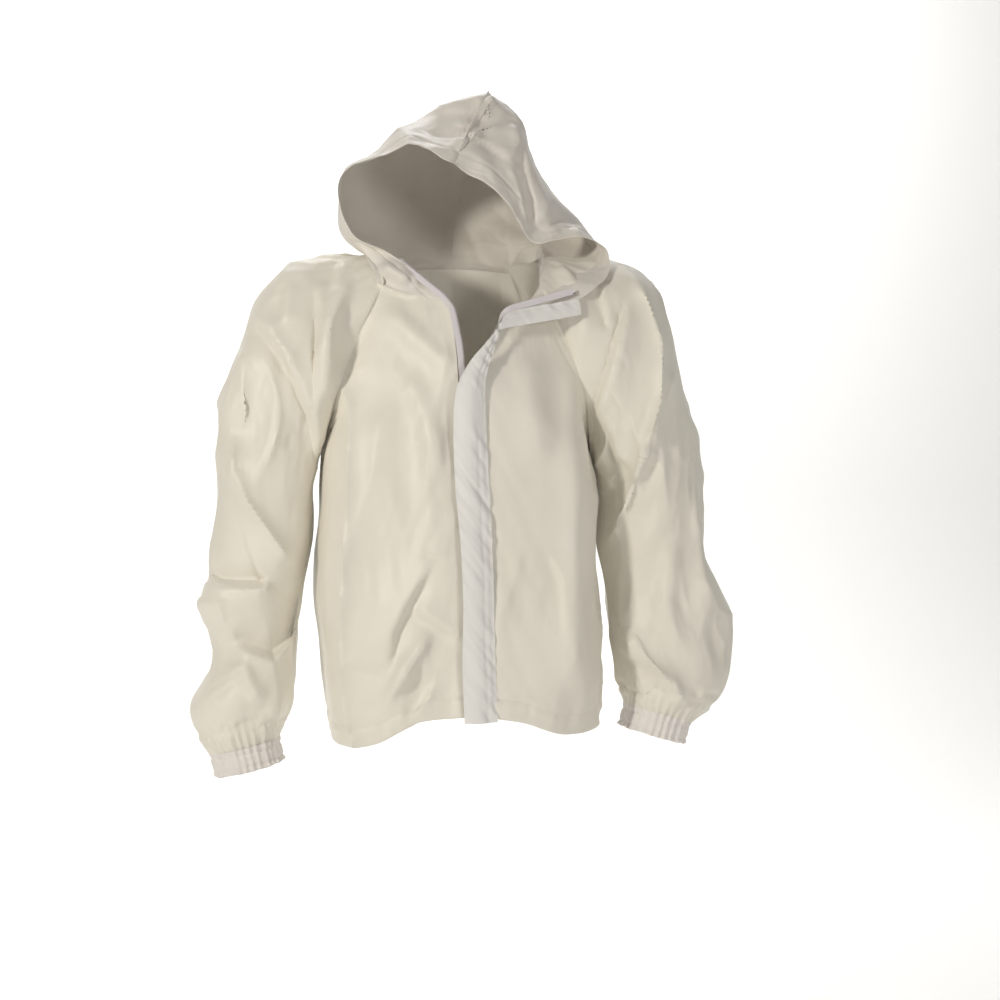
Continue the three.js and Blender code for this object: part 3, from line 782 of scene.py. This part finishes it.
def mixed_colour(tree, mask, first, second):
    """The first colour where the mask is 0 and the second where it is 1."""
    mix = tree.nodes.new("ShaderNodeMix")
    mix.data_type = "RGBA"
    tree.links.new(mask, mix.inputs["Factor"])
    for socket, colour in ((mix.inputs[6], first), (mix.inputs[7], second)):
        if isinstance(colour, tuple):
            socket.default_value = (*colour, 1)
        else:
            tree.links.new(colour, socket)
    return mix.outputs[2]


def new_material(name, roughness, metallic=0.0):
    """A material with its nodes and its shader, ready for a finish."""
    material = bpy.data.materials.new(name)
    material.use_nodes = True
    shader = material.node_tree.nodes["Principled BSDF"]
    shader.inputs["Roughness"].default_value = roughness
    shader.inputs["Metallic"].default_value = metallic
    return material, material.node_tree, shader


def cloth_material(name, light, dark, roughness, sheen, threads=6000.0, weave_depth=0.03, marks_depth=0.5,
                   place="UV"):
    """Tightly woven cloth; threads is how fast the weave repeats over a metre."""
    material, tree, shader = new_material(name, roughness)
    coordinates = tree.nodes.new("ShaderNodeTexCoord")
    woven = placed(tree, WEAVE, coordinates.outputs[place])
    woven.inputs["Threads"].default_value = threads
    marks = placed(tree, MARKS, coordinates.outputs["Object"])
    marks.inputs["Size"].default_value = 34.0
    tone = placed(tree, TONE, coordinates.outputs["Object"])
    spread = tree.nodes.new("ShaderNodeMapRange")
    spread.inputs["From Min"].default_value = 0.3
    spread.inputs["From Max"].default_value = 0.7
    tree.links.new(tone.outputs["Mask"], spread.inputs["Value"])
    colour = mixed_colour(tree, spread.outputs[0], light, dark)
    threads_mask = math_node(tree, "MULTIPLY", woven.outputs["Tint"], THREAD_TINT)
    colour = mixed_colour(tree, threads_mask, colour, tuple(THREAD_SHADE * c for c in dark))
    tree.links.new(colour, shader.inputs["Base Color"])
    rough = math_node(tree, "MULTIPLY", tone.outputs["Mask"], 0.16)
    rough = math_node(tree, "ADD", rough, roughness - 0.08)
    tree.links.new(rough, shader.inputs["Roughness"])
    height = math_node(tree, "MULTIPLY", woven.outputs["Height"], weave_depth)
    lumps = math_node(tree, "MULTIPLY", marks.outputs["Mask"], marks_depth)
    total = math_node(tree, "ADD", height, lumps)
    add_bump(tree, shader, total, 0.5, 0.002)
    shader.inputs["Sheen Weight"].default_value = sheen
    shader.inputs["Sheen Roughness"].default_value = 0.4
    shader.inputs["Specular IOR Level"].default_value = 0.45
    return material


def metal_material(name, light, dark, roughness, metallic, coat=0.0):
    """Metal, enamel or hard plastic with a slow change of tone and a fine grain."""
    material, tree, shader = new_material(name, roughness, metallic)
    coordinates = tree.nodes.new("ShaderNodeTexCoord")
    tone = placed(tree, TONE, coordinates.outputs["Object"])
    tree.links.new(mixed_colour(tree, tone.outputs["Mask"], light, dark), shader.inputs["Base Color"])
    grain = noise_texture(tree, coordinates.outputs["Object"], 900.0, 3.0)
    rough = math_node(tree, "MULTIPLY", grain.outputs["Fac"], 0.2)
    tree.links.new(math_node(tree, "ADD", rough, roughness - 0.1), shader.inputs["Roughness"])
    add_bump(tree, shader, grain.outputs["Fac"], 0.15, 0.0004)
    shader.inputs["Coat Weight"].default_value = coat
    return material


shell_cloth = cloth_material("shell cloth", (0.84, 0.805, 0.72), (0.775, 0.74, 0.65), 0.48, 0.25)
# The hood is the shell's own cloth; its colours are made darker and greyer here as painted shade.
hood_cloth_painted_shade = cloth_material("hood cloth with painted shade", (0.80, 0.765, 0.705), (0.72, 0.68, 0.62), 0.5, 0.25)
flap_cloth = cloth_material("flap cloth", (0.84, 0.83, 0.805), (0.79, 0.775, 0.75), 0.5, 0.2)
cuff_cloth = cloth_material("cuff cloth", (0.84, 0.80, 0.77), (0.77, 0.73, 0.695), 0.55, 0.2)
tape_cloth = cloth_material("zip tape cloth", (0.80, 0.765, 0.79), (0.72, 0.685, 0.71), 0.7, 0.1,
                            threads=9000.0, weave_depth=0.12, marks_depth=0.1)
elastic_cloth = cloth_material("braided elastic", (0.84, 0.83, 0.81), (0.76, 0.75, 0.73), 0.8, 0.1,
                               threads=3500.0, weave_depth=0.3, marks_depth=0.1, place="Object")
thread = cloth_material("sewing thread", (0.86, 0.83, 0.78), (0.78, 0.75, 0.70), 0.6, 0.1, threads=15000.0,
                        weave_depth=0.1, marks_depth=0.0, place="Object")
coil_plastic = metal_material("coil plastic", (0.60, 0.56, 0.58), (0.50, 0.47, 0.49), 0.4, 0.0)
enamel = metal_material("white enamel", (0.80, 0.77, 0.72), (0.70, 0.67, 0.62), 0.32, 0.0, coat=0.4)
stamped = metal_material("stamped grey metal", (0.30, 0.28, 0.27), (0.20, 0.19, 0.18), 0.38, 0.9)


# ---------------------------------------------------------------- camera, light and floor
def add_camera():
    """Looks level at the front, from a little way round to the wearer's right."""
    data = bpy.data.cameras.new("camera")
    camera = bpy.data.objects.new("camera", data)
    scene.collection.objects.link(camera)
    distance = 2.5
    seen_width = 1.45
    turn = math.radians(-7)
    target = Vector((0.0628, 0, -0.3335))
    away = Vector((math.sin(turn), -math.cos(turn), 0))
    camera.location = target + away * distance
    camera.rotation_euler = (-away).to_track_quat("-Z", "Y").to_euler()
    data.sensor_width = 36
    data.lens = data.sensor_width * distance / seen_width
    data.clip_end = 20
    scene.camera = camera


def add_light(name, place, size, power, colour, aim=(0, 0, -0.3)):
    """A round soft light, aimed at the jacket's middle unless it says otherwise."""
    data = bpy.data.lights.new(name, "AREA")
    data.shape = "DISK"
    data.size = size
    data.energy = power
    data.color = colour
    light = bpy.data.objects.new(name, data)
    light.location = place
    light.rotation_euler = (Vector(aim) - Vector(place)).to_track_quat("-Z", "Y").to_euler()
    scene.collection.objects.link(light)


def add_studio():
    """A low key light from the side, a soft fill, and a lit pale floor that curves up behind."""
    add_light("key light", (-2.1, -2.0, 0.4), 0.35, 38, (1.0, 0.955, 0.87))
    add_light("fill light", (1.6, -2.6, 0.0), 0.8, 17, (1.0, 0.97, 0.93))
    add_light("floor light", (0, 2.4, 2.9), 3.0, 190, (1.0, 1.0, 1.0), aim=(0, 4.4, -0.2))
    world = bpy.data.worlds.new("studio")
    world.use_nodes = True
    background = world.node_tree.nodes["Background"]
    background.inputs["Color"].default_value = (1.0, 0.975, 0.94, 1)
    background.inputs["Strength"].default_value = 0.27
    scene.world = world
    floor_height = -1.5
    material, _, shader = new_material("pale floor", 0.8)
    shader.inputs["Base Color"].default_value = (0.93, 0.925, 0.91, 1)
    half_width = 6
    front_edge = -5
    bend_start = 3.4
    bend_radius = 1.2
    top_edge = 5
    profile = [(front_edge, floor_height), (bend_start, floor_height)]
    profile += [(bend_start + bend_radius * math.sin(turn), floor_height + bend_radius * (1 - math.cos(turn)))
                for turn in np.linspace(0.2, math.pi / 2, 8)]
    profile.append((bend_start + bend_radius, top_edge))
    points = [(x, y, z) for y, z in profile for x in (-half_width, half_width)]
    faces = [(2 * k, 2 * k + 1, 2 * k + 3, 2 * k + 2) for k in range(len(profile) - 1)]
    floor = add_piece("floor", np.array(points) / MM, faces, material)


# ---------------------------------------------------------------- body pieces
def finish_cloth(grid, flip, closed, crumple):
    """The settled cloth made finer, with its larger folds, small creases and stitched hem pressed in."""
    fine = surface(grid, 2, 2, closed)
    normal = normals_of(fine, closed, flip)
    fine = pressed_folds(fine, normal, front_folds, True)
    fine = pressed_folds(fine, normal, back_folds, False)
    held_edges = (closed, True, not closed, not closed)
    fine = crumpled(fine, normals_of(fine, closed, flip), crumple, held_edges)
    if not closed:
        fine = stitched_hollow(fine, normals_of(fine, closed, flip), 1.9, HEM_STITCH)
    return fine, normals_of(fine, closed, flip)


def piece_from_grid(name, grid, flip, closed, material, thickness=CLOTH_THICKNESS):
    """A cloth piece of even thickness over a grid of points."""
    index = np.arange(grid.shape[0] * grid.shape[1]).reshape(grid.shape[:2])
    uv = cloth_uv(grid).reshape(-1, 2)
    piece = add_piece(name, grid.reshape(-1, 3), grid_faces(index, closed, flip), material, uv)
    thicken(piece, thickness)
    return piece


def noise_round(turn, reach, height):
    """Noise that closes on itself round a cuff; a larger reach makes it change faster."""
    return noise.noise(Vector((reach * math.cos(turn), reach * math.sin(turn), height)))


def gathers(turn):
    """How far gathered cloth stands out round a cuff, from 0 to 1, with uneven pleats."""
    wander = 0.9 * noise_round(turn, 3, 2.0)
    wave = 0.5 + 0.5 * math.sin(CUFF_GATHERS * turn + 3.2 * wander)
    size = 0.65 + 0.6 * noise_round(turn, 6, 11.0)
    return (wave ** 1.5) * size


def cuff_frame(side_name):
    """The middle of a cuff's upper edge, its axis and two cross directions."""
    tops = {"right": ((-303, -20, -681), (0.23, 0, -0.97)), "left": ((291, -20, -643), (-0.28, 0, -0.96))}
    top, axis = np.array(tops[side_name], float)
    axis = unit(axis)
    front = np.array([0.0, -1.0, 0.0])
    return top, axis, front, np.cross(axis, front)


def gather_sleeve_end(grid, side_name, reach=60):
    """Draws the last stretch of a sleeve into pleats that meet the cuff."""
    top, axis, front, across = cuff_frame(side_name)
    offset = grid - top
    depth = offset @ axis
    radial = offset - depth[..., None] * axis
    turn = np.arctan2(radial @ across, radial @ front)
    share = np.clip(1 + depth / reach, 0, 1)
    last_fifth = np.arange(grid.shape[0])[:, None] > grid.shape[0] * 0.8
    share = np.where(last_fifth, share, 0)
    middle_lift = 0.45
    deep = 5.5 * share ** 1.5 * (np.vectorize(gathers)(turn) - middle_lift)
    return grid + unit(radial) * deep[..., None]


def add_cuff(side_name):
    """The gathered casing over a cuff's elastic, with its lower edge turned up inside."""
    top, axis, front, across = cuff_frame(side_name)
    columns = CUFF_GATHERS * 9
    turns = np.linspace(0, 2 * math.pi, columns, endpoint=False)
    profile = [(t, 0) for t in np.linspace(-3, CUFF_LENGTH, 18)]
    profile += [(CUFF_LENGTH + 1.0, -1.0), (CUFF_LENGTH + 0.6, -2.2)]
    profile += [(t, -3.0) for t in np.linspace(CUFF_LENGTH - 1, 2, 10)]
    grid = np.zeros((len(profile), columns, 3))
    for column, turn in enumerate(turns):
        lift = gathers(turn)
        slip = 1.2 * noise_round(turn, 4, 5)
        way = front * math.cos(turn) + across * math.sin(turn)
        for row, (t, inward) in enumerate(profile):
            share = np.clip(t / CUFF_LENGTH, 0, 1)
            ends = 1 - math.sin(math.pi * share)
            height = 4.2 * lift * (0.75 + 0.35 * ends) - 1.6
            wobble = 0.7 * noise.noise(Vector((t / 7, 9 * math.cos(turn), 9 * math.sin(turn))))
            stitched_in = -1.6 * sum(math.exp(-((t - seam) / 2.2) ** 2) for seam in CUFF_SEAMS)
            radius = CUFF_RADIUS + height + inward + wobble + (stitched_in if inward == 0 else 0)
            grid[row, column] = top + axis * (t + slip * share) + way * radius
    cuff = piece_from_grid(f"{side_name}_cuff_gathered", grid, False, True, cuff_cloth)
    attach(cuff, f"{side_name}_forearm")
    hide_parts(f"{side_name}_cuff")
    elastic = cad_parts[f"{side_name}_cuff_elastic"]
    elastic.data.materials.clear()
    elastic.data.materials.append(elastic_cloth)


# Each panel: name, the nodes it stands for, the size it is cut from, its area and how crumpled it is.
body_panels = [
    ("right_front", ["right_front_panel"], (0.27, 0.67), 0.172, 1.0),
    ("left_front", ["left_front_panel"], (0.27, 0.66), 0.157, 0.9),
    ("back", ["back_panel"], (0.52, 0.68), 0.311, 1.2),
    ("right_sleeve", ["right_upper_sleeve", "right_lower_sleeve"], (0.62, 0.80), 0.335, 1.7),
    ("left_sleeve", ["left_upper_sleeve", "left_lower_sleeve"], (0.62, 0.80), 0.345, 1.7),
]


def add_body():
    """Makes the three panels and two sleeves; gives back their settled cloth for the neckline."""
    grids, flips, closed = body_and_sleeves()
    hem_rows = []
    for panel, grid, flip, ring in zip(body_panels, grids, flips, closed):
        name, nodes, flat, area, crumple = panel
        side_name = name.split("_")[0]
        fine, normal = finish_cloth(grid, flip, ring, crumple)
        if ring:
            fine = gather_sleeve_end(fine, side_name)
        else:
            hem_rows.append(row_at(fine, normal, HEM_STITCH))
            fine = turned_under(fine, normal, HEM_DEPTH)
        piece = piece_from_grid(name, fine, flip, ring, shell_cloth)
        if ring:
            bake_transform(piece)
        else:
            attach(piece, "jacket_body")
        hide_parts(*nodes)
    hem = stitches("hem_stitching", hem_rows, thread)
    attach(hem, "jacket_body")
    return grids


# ---------------------------------------------------------------- hood
hood_right_net = [
    [(-26, -104, -49), (-99, -70, -19), (-119, -6, 34), (-86, 56, 24), (0, 82, 21)],
    [(-92, -72, 4), (-146, -46, 28), (-158, 22, 46), (-98, 96, 52), (7, 128, 60)],
    [(-150, -68, 34), (-170, -8, 58), (-152, 62, 82), (-82, 118, 98), (16, 142, 122)],
    [(-171, -60, 100), (-160, 2, 128), (-126, 62, 154), (-60, 106, 172), (34, 126, 190)],
    [(-150, -65, 137), (-118, -8, 172), (-80, 36, 205), (-24, 62, 232), (48, 70, 249)],
    [(-84, -85, 160), (-62, -45, 190), (-32, -20, 215), (3, -6, 240), (44, 0, 257)],
    [(-12, -103, 134), (-8, -96, 143), (-5, -90, 152), (-2, -85, 160), (0, -81, 167)],
]
hood_left_net = [
    [(64, -106, -56), (104, -72, -14), (120, -6, 35), (86, 56, 24)],
    [(166, -92, -43), (112, -56, -6), (122, 12, 40), (92, 78, 40)],
    [(197, -78, -28), (136, -30, 8), (134, 40, 50), (92, 92, 58)],
    [(211, -62, -8), (164, -6, 14), (146, 56, 58), (95, 112, 84)],
    [(214, -50, 12), (190, 2, 26), (158, 68, 74), (104, 112, 118)],
    [(207, -42, 30), (200, 4, 46), (162, 66, 98), (108, 100, 150)],
    [(168, -46, 46), (176, 4, 80), (138, 54, 132), (98, 74, 212)],
    [(104, -64, 33), (138, -24, 92), (108, 20, 172), (84, 30, 236)],
    [(56, -86, 88), (78, -62, 130), (88, -30, 186), (66, -6, 240)],
    [(-12, -103, 134), (-8, -96, 143), (-5, -90, 152), (-2, -85, 160)],
]


def neckline(front, sleeve, back, side):
    """The sewn neckline of one half, from the zip round the shoulder to the middle of the back."""
    half = back.shape[1] // 2
    back_row = back[-1, :half + 1] if side < 0 else back[-1, ::-1][:half + 1]
    shoulder = sleeve[0, SHOULDER_SPANS]
    shoulder_middle = 2 * ROWS_PER_SPAN
    made = []
    for stretch in (front[-1][::-1], shoulder[:shoulder_middle + 1], shoulder[shoulder_middle:], back_row):
        at = distances(np.linalg.norm(np.diff(stretch, axis=0), axis=1))
        wanted = np.linspace(0, at[-1], HOOD_RIGHT_STEPS + 1)[:-1]
        made += read_along(wanted, at, stretch).tolist()
    made.append(back_row[-1])
    return np.array(made)


hood_folds = [
    ([(-14, 132), (-9, 142), (10, 172)], "crease", 3, -3.5, (0.1, 0.1)),
    ([(11, 174), (-39, 186), (-62, 196)], "lap", 9, 3.5, (0.05, 0.4)),
    ([(13, 178), (28, 191), (61, 204)], "crease", 7, 4, (0.05, 0.3)),
    ([(13, 178), (40, 171), (55, 157), (70, 134)], "lap", 7, 3, (0.05, 0.3)),
    ([(51, 253), (42, 229), (42, 207)], "crease", 9, 4.5, (0.1, 0.2)),
    ([(32, 243), (19, 207)], "lap", 9, 3.5),
    ([(-14, 203), (32, 192)], "lap", 8, 2),
    ([(75, 213), (84, 182), (72, 143)], "crease", 10, 4.5),
    ([(87, 184), (94, 129), (105, 88), (105, 53)], "lap", 10, 5, (0.2, 0.1)),
    ([(62, 142), (80, 119), (91, 78), (100, 50)], "crease", 8, 4, (0.2, 0.15)),
    ([(-41, 227), (18, 221), (47, 216)], "lap", 10, 1.8),
    ([(-150, 172), (-110, 196), (-70, 212)], "crease", 10, -4),
    ([(-110, 186), (-60, 214), (-20, 236)], "lap", 10, 2),
    ([(150, 110), (124, 84), (112, 60)], "crease", 12, 4.5),
    ([(188, 58), (150, 66), (118, 52)], "lap", 10, 4),
    ([(-116, -2), (-98, -14), (-72, -30)], "ridge", 11, 6, (0.2, 0.2)),
    ([(-60, -16), (-66, -40)], "lap", 7, -4, (0.3, 0.3)),
]


def hood_grids(grids):
    """The hood's two halves, fitted to the neckline and to each other along the seam over the head."""
    right = surface(hood_right_net, HOOD_RIGHT_STEPS, HOOD_RIGHT_STEPS)
    seam = right[::HOOD_LEFT_STEPS, -1].tolist()
    left_net = [[*row, point] for row, point in zip(hood_left_net, seam)]
    left = surface(left_net, HOOD_LEFT_STEPS, HOOD_RIGHT_STEPS)
    for grid, front, sleeve, side in ((right, grids[0], grids[3], -1), (left, grids[1], grids[4], 1)):
        shift = neckline(front, sleeve, grids[2], side) - grid[0]
        for row in range(HOOD_RIGHT_STEPS + 1):
            fade = 0.5 + 0.5 * math.cos(math.pi * row / (HOOD_RIGHT_STEPS + 1))
            grid[row] += shift * fade
    return right, left


def follow_hood(piece):
    """Makes the piece's place part of its mesh; it is attached to no body."""
    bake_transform(piece)


def swapped(grid):
    """The same grid with its rows and columns exchanged."""
    return grid.swapaxes(0, 1)


def add_hood(grids):
    """Settles the two halves as one cloth, then folds, hems and stitches each of them."""
    right, left = hood_grids(grids)
    points = right.reshape(-1, 3).tolist()
    numbered_right = np.arange(len(points)).reshape(right.shape[:2])
    numbered_left = np.full(left.shape[:2], -1, int)
    numbered_left[:, -1] = numbered_right[:, -1]
    numbered_left[-1] = numbered_right[-1]
    for place in np.argwhere(numbered_left < 0):
        numbered_left[tuple(place)] = len(points)
        points.append(left[tuple(place)].tolist())
    points = np.array(points)
    faces = grid_faces(numbered_right, False, True) + grid_faces(numbered_left, False, False)
    held = np.full(len(points), HOOD_HOLD)
    for index in (numbered_right, numbered_left):
        neckline_row, beside_brim = index[0], index[:, :2]
        held[neckline_row] = FIRM
        held[beside_brim] = BRIM_HOLD
    neck_middle = np.array([0, 0, 20.0])
    cut = neck_middle + (points - neck_middle) * HOOD_SPARE
    moved = settle("hood", points, cut, faces, held, 45, (1.1, 2.7, 4.3))
    brim_rows = []
    for name, index, flip, node, area in (("hood_right", numbered_right, True, "hood_right_panel", 0.112),
                                          ("hood_left", numbered_left, False, "hood_left_panel", 0.118)):
        fine = surface(moved[index], 2, 2)
        normal = normals_of(fine, False, flip)
        fine = pressed_folds(fine, normal, hood_folds, True, (True, False, False, True))
        fine = crumpled(fine, normals_of(fine, False, flip), 1.1, (True, True, False, True), 3.0)
        from_brim = swapped(fine)
        from_brim = stitched_hollow(from_brim, swapped(normals_of(fine, False, flip)), 1.5, HEM_STITCH)
        normal = swapped(normals_of(swapped(from_brim), False, flip))
        brim_rows.append(row_at(from_brim, normal, HEM_STITCH))
        fine = swapped(turned_under(from_brim, normal, HEM_DEPTH))
        piece = piece_from_grid(name, fine, flip, False, hood_cloth_painted_shade)
        follow_hood(piece)
        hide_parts(node)
    brim = stitches("brim_stitching", brim_rows, thread)
    follow_hood(brim)


# ---------------------------------------------------------------- storm flap
flap_net = [
    [(-5, -159, -637), (16, -161, -637), (41, -152, -636)],
    [(-8, -160, -560), (13, -161, -560), (38, -152, -560)],
    [(-7, -160, -480), (11, -161, -480), (36, -152, -480)],
    [(-10, -159, -400), (9, -160, -400), (34, -151, -400)],
    [(-17, -157, -320), (4, -159, -320), (30, -150, -320)],
    [(-20, -158, -250), (2, -161, -250), (26, -150, -250)],
    [(-17, -159, -188), (4, -160, -180), (25, -149, -172)],
    [(0, -154, -150), (18, -152, -140), (37, -143, -130)],
    [(21, -150, -124), (32, -147, -117), (44, -140, -109)],
    [(46, -138, -101), (50, -135, -92), (55, -128, -79)],
    [(86, -123, -91), (85, -121, -80), (84, -116, -68)],
    [(130, -111, -82), (129, -109, -71), (127, -105, -59)],
    [(165, -100, -74), (164, -98, -63), (162, -95, -51)],
]


FLAP_STITCH_ROWS = (0.74, 0.94)      # shares of the way across from the free edge to the sewn edge
FLAP_STITCHED_LENGTH = 0.78          # share of the flap's length that the rows of stitches run up
FLAP_THICKNESS = 1.2                 # two layers of cloth
PULL_MIDDLE = -205                   # the pull tab hangs behind the flap at this height
PULL_REACH = 45                      # and the flap stays clear of it this far up and down


def add_flap():
    """The double flap over the zip, puckered along its two rows of stitches."""
    grid = surface(flap_net, 26, 12)
    across = np.linspace(0, 1, grid.shape[1])[None, :]
    height = np.zeros(grid.shape[:2])
    for row in range(grid.shape[0]):
        for column in range(grid.shape[1]):
            x, _, z = grid[row, column]
            slant = z + 1.3 * (x - 20)
            drag = noise.noise(Vector((slant / 17, across[0, column] * 1.1, 2.0)))
            fine_drag = noise.noise(Vector((slant / 8, across[0, column] * 1.8, 8.0)))
            height[row, column] = 3.0 * drag + 1.3 * fine_drag
    height *= 0.55 + 0.6 * np.exp(-((across - 0.82) / 0.22) ** 2)
    for share in FLAP_STITCH_ROWS:
        height -= 0.9 * np.exp(-((across - share) / 0.04) ** 2)
    along = np.linspace(0, 1, grid.shape[0])[:, None]
    height *= np.interp(along, (0, 0.66, 0.78, 1), (1, 1, 0.35, 0.45))
    over_pull = np.exp(-((grid[..., 2] - PULL_MIDDLE) / PULL_REACH) ** 4)
    height += (np.maximum(height, 0) - height) * over_pull
    grid = grid + normals_of(grid) * height[..., None]
    normal = normals_of(grid)
    rows = []
    last = int(grid.shape[0] * FLAP_STITCHED_LENGTH)
    for share in FLAP_STITCH_ROWS:
        column = int(round(share * (grid.shape[1] - 1)))
        rows.append((grid[:last, column], normal[:last, column]))
    flap = piece_from_grid("storm_flap_cloth", grid, False, False, flap_cloth, FLAP_THICKNESS)
    stitched = stitches("flap_stitching", rows, thread, lift=0.8)
    for piece in (flap, stitched):
        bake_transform(piece)
    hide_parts("storm_flap", "storm_flap_top")


# ---------------------------------------------------------------- zip
CHAIN_TOP = (0, -147, -178)
CHAIN_BOTTOM = (14, -152, -628)
right_half = [(CHAIN_BOTTOM, (-1, 0, 0)), ((7, -149.5, -403), (-1, 0, 0)), (CHAIN_TOP, (-1, 0, 0)),
              ((-4, -133, -120), (-1, 0, 0)), ((-13, -114, -66), (-0.9, 0, -0.3)),
              ((-27, -107, -47), (-0.6, 0, -0.8)), ((-58, -92, -20), (-0.5, 0, -0.85)),
              ((-86, -77, 5), (-0.4, 0, -0.9))]
left_half = [(CHAIN_BOTTOM, (1, 0, 0)), ((7, -149.5, -403), (1, 0, 0)), (CHAIN_TOP, (1, 0, 0)),
             ((24, -138, -126), (0.8, 0.6, 0)), ((50, -125, -84), (0.2, 0.9, 0.4)),
             ((64, -119, -74), (0, 0.3, 0.95)), ((158, -94, -45), (0, 0.2, 0.98))]
COIL_PITCH = 2.0
TAPE_THICKNESS = 0.6


def chain_line(half, step):
    """Points at even distances along one half of the zip, with the way on and the way to the sewn edge."""
    points = np.array([p for p, _ in half], float)
    sides = np.array([s for _, s in half], float)
    dense = []
    dense_sides = []
    for a in range(len(points) - 1):
        for t in np.linspace(0, 1, 200, endpoint=False):
            dense.append(points[a] * (1 - t) + points[a + 1] * t)
            dense_sides.append(sides[a] * (1 - t) + sides[a + 1] * t)
    dense = np.array(dense)
    at = distances(np.linalg.norm(np.diff(dense, axis=0), axis=1))
    wanted = np.arange(0, at[-1], step)
    line = read_along(wanted, at, dense)
    for _ in range(12):
        line[1:-1] = (line[:-2] + 2 * line[1:-1] + line[2:]) / 4
    side = unit(read_along(wanted, at, np.array(dense_sides)))
    way = unit(np.gradient(line, axis=0))
    side = unit(side - (side * way).sum(axis=1)[:, None] * way)
    return line, way, side


# How far across the tape each point lies, and its height.
TAPE_PROFILE = ((0.7, -0.7), (3, -0.7), (5, -0.55), (7.5, -0.5), (9.9, -0.5))


def add_zip_half(side_name, half):
    """One woven tape with its coil; the two coils are staggered by half a turn."""
    line, way, side = chain_line(half, COIL_PITCH)
    normal = np.cross(side, way) if side_name == "right" else np.cross(way, side)
    normal = -normal if normal[10][1] > 0 else normal
    tape = np.stack([line + side * across + normal * height for across, height in TAPE_PROFILE], axis=1)
    woven = piece_from_grid(f"zip_tape_{side_name}_woven", tape, side_name == "right", False, tape_cloth,
                            TAPE_THICKNESS)
    stagger = 0.0 if side_name == "right" else COIL_PITCH / 2
    places = [(line[k] + way[k] * stagger, way[k], side[k], normal[k]) for k in range(len(line))]
    coil = copies(f"zip_coil_{side_name}_turns", one_coil_turn(), places, coil_plastic)
    for made, slot in ((woven, "zip_tape"), (coil, "zip_coil")):
        follow_hood(made)
        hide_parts(f"{slot}_{side_name}")


def rounded_copy(node, name, body, material, width, slot):
    """A node's shape with its edges rounded."""
    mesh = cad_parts[node].data.copy()
    mesh.name = name
    mesh.materials.clear()
    mesh.materials.append(material)
    piece = bpy.data.objects.new(name, mesh)
    scene.collection.objects.link(piece)
    merge = piece.modifiers.new("Merge", "WELD")
    merge.merge_threshold = 0.00002
    bevel = piece.modifiers.new("Round", "BEVEL")
    bevel.width = width * MM
    bevel.segments = 3
    bevel.angle_limit = math.radians(35)
    apply_modifiers(piece)
    smooth_but_for_edges(piece, 40)
    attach(piece, body)
    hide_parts(node)


# The zip's small parts: node, name, the body it rides on, metal, how far its edges are rounded, and slot.
zip_parts = [
    ("zip_slider", "slider_body", "slider", enamel, 0.35, "white_metal"),
    ("zip_pull", "pull_tab", "pull", enamel, 0.4, "white_metal"),
    ("zip_retainer_box", "retainer_box", "jacket_body", enamel, 0.5, "white_metal"),
    ("zip_insertion_pin", "insertion_pin", "jacket_body", enamel, 0.4, "white_metal"),
    ("zip_top_stop_right", "top_stop_right", "jacket_body", stamped, 0.35, "stop_metal"),
    ("zip_top_stop_left", "top_stop_left", "jacket_body", stamped, 0.35, "stop_metal"),
]


def add_zip():
    """Both halves of the chain, then the slider, its pull and the ends of the zip."""
    add_zip_half("right", right_half)
    add_zip_half("left", left_half)
    for part in zip_parts:
        rounded_copy(*part)


add_camera()
add_studio()
body_grids = add_body()
add_hood(body_grids)
add_flap()
add_zip()
for cuff_side in ("right", "left"):
    add_cuff(cuff_side)
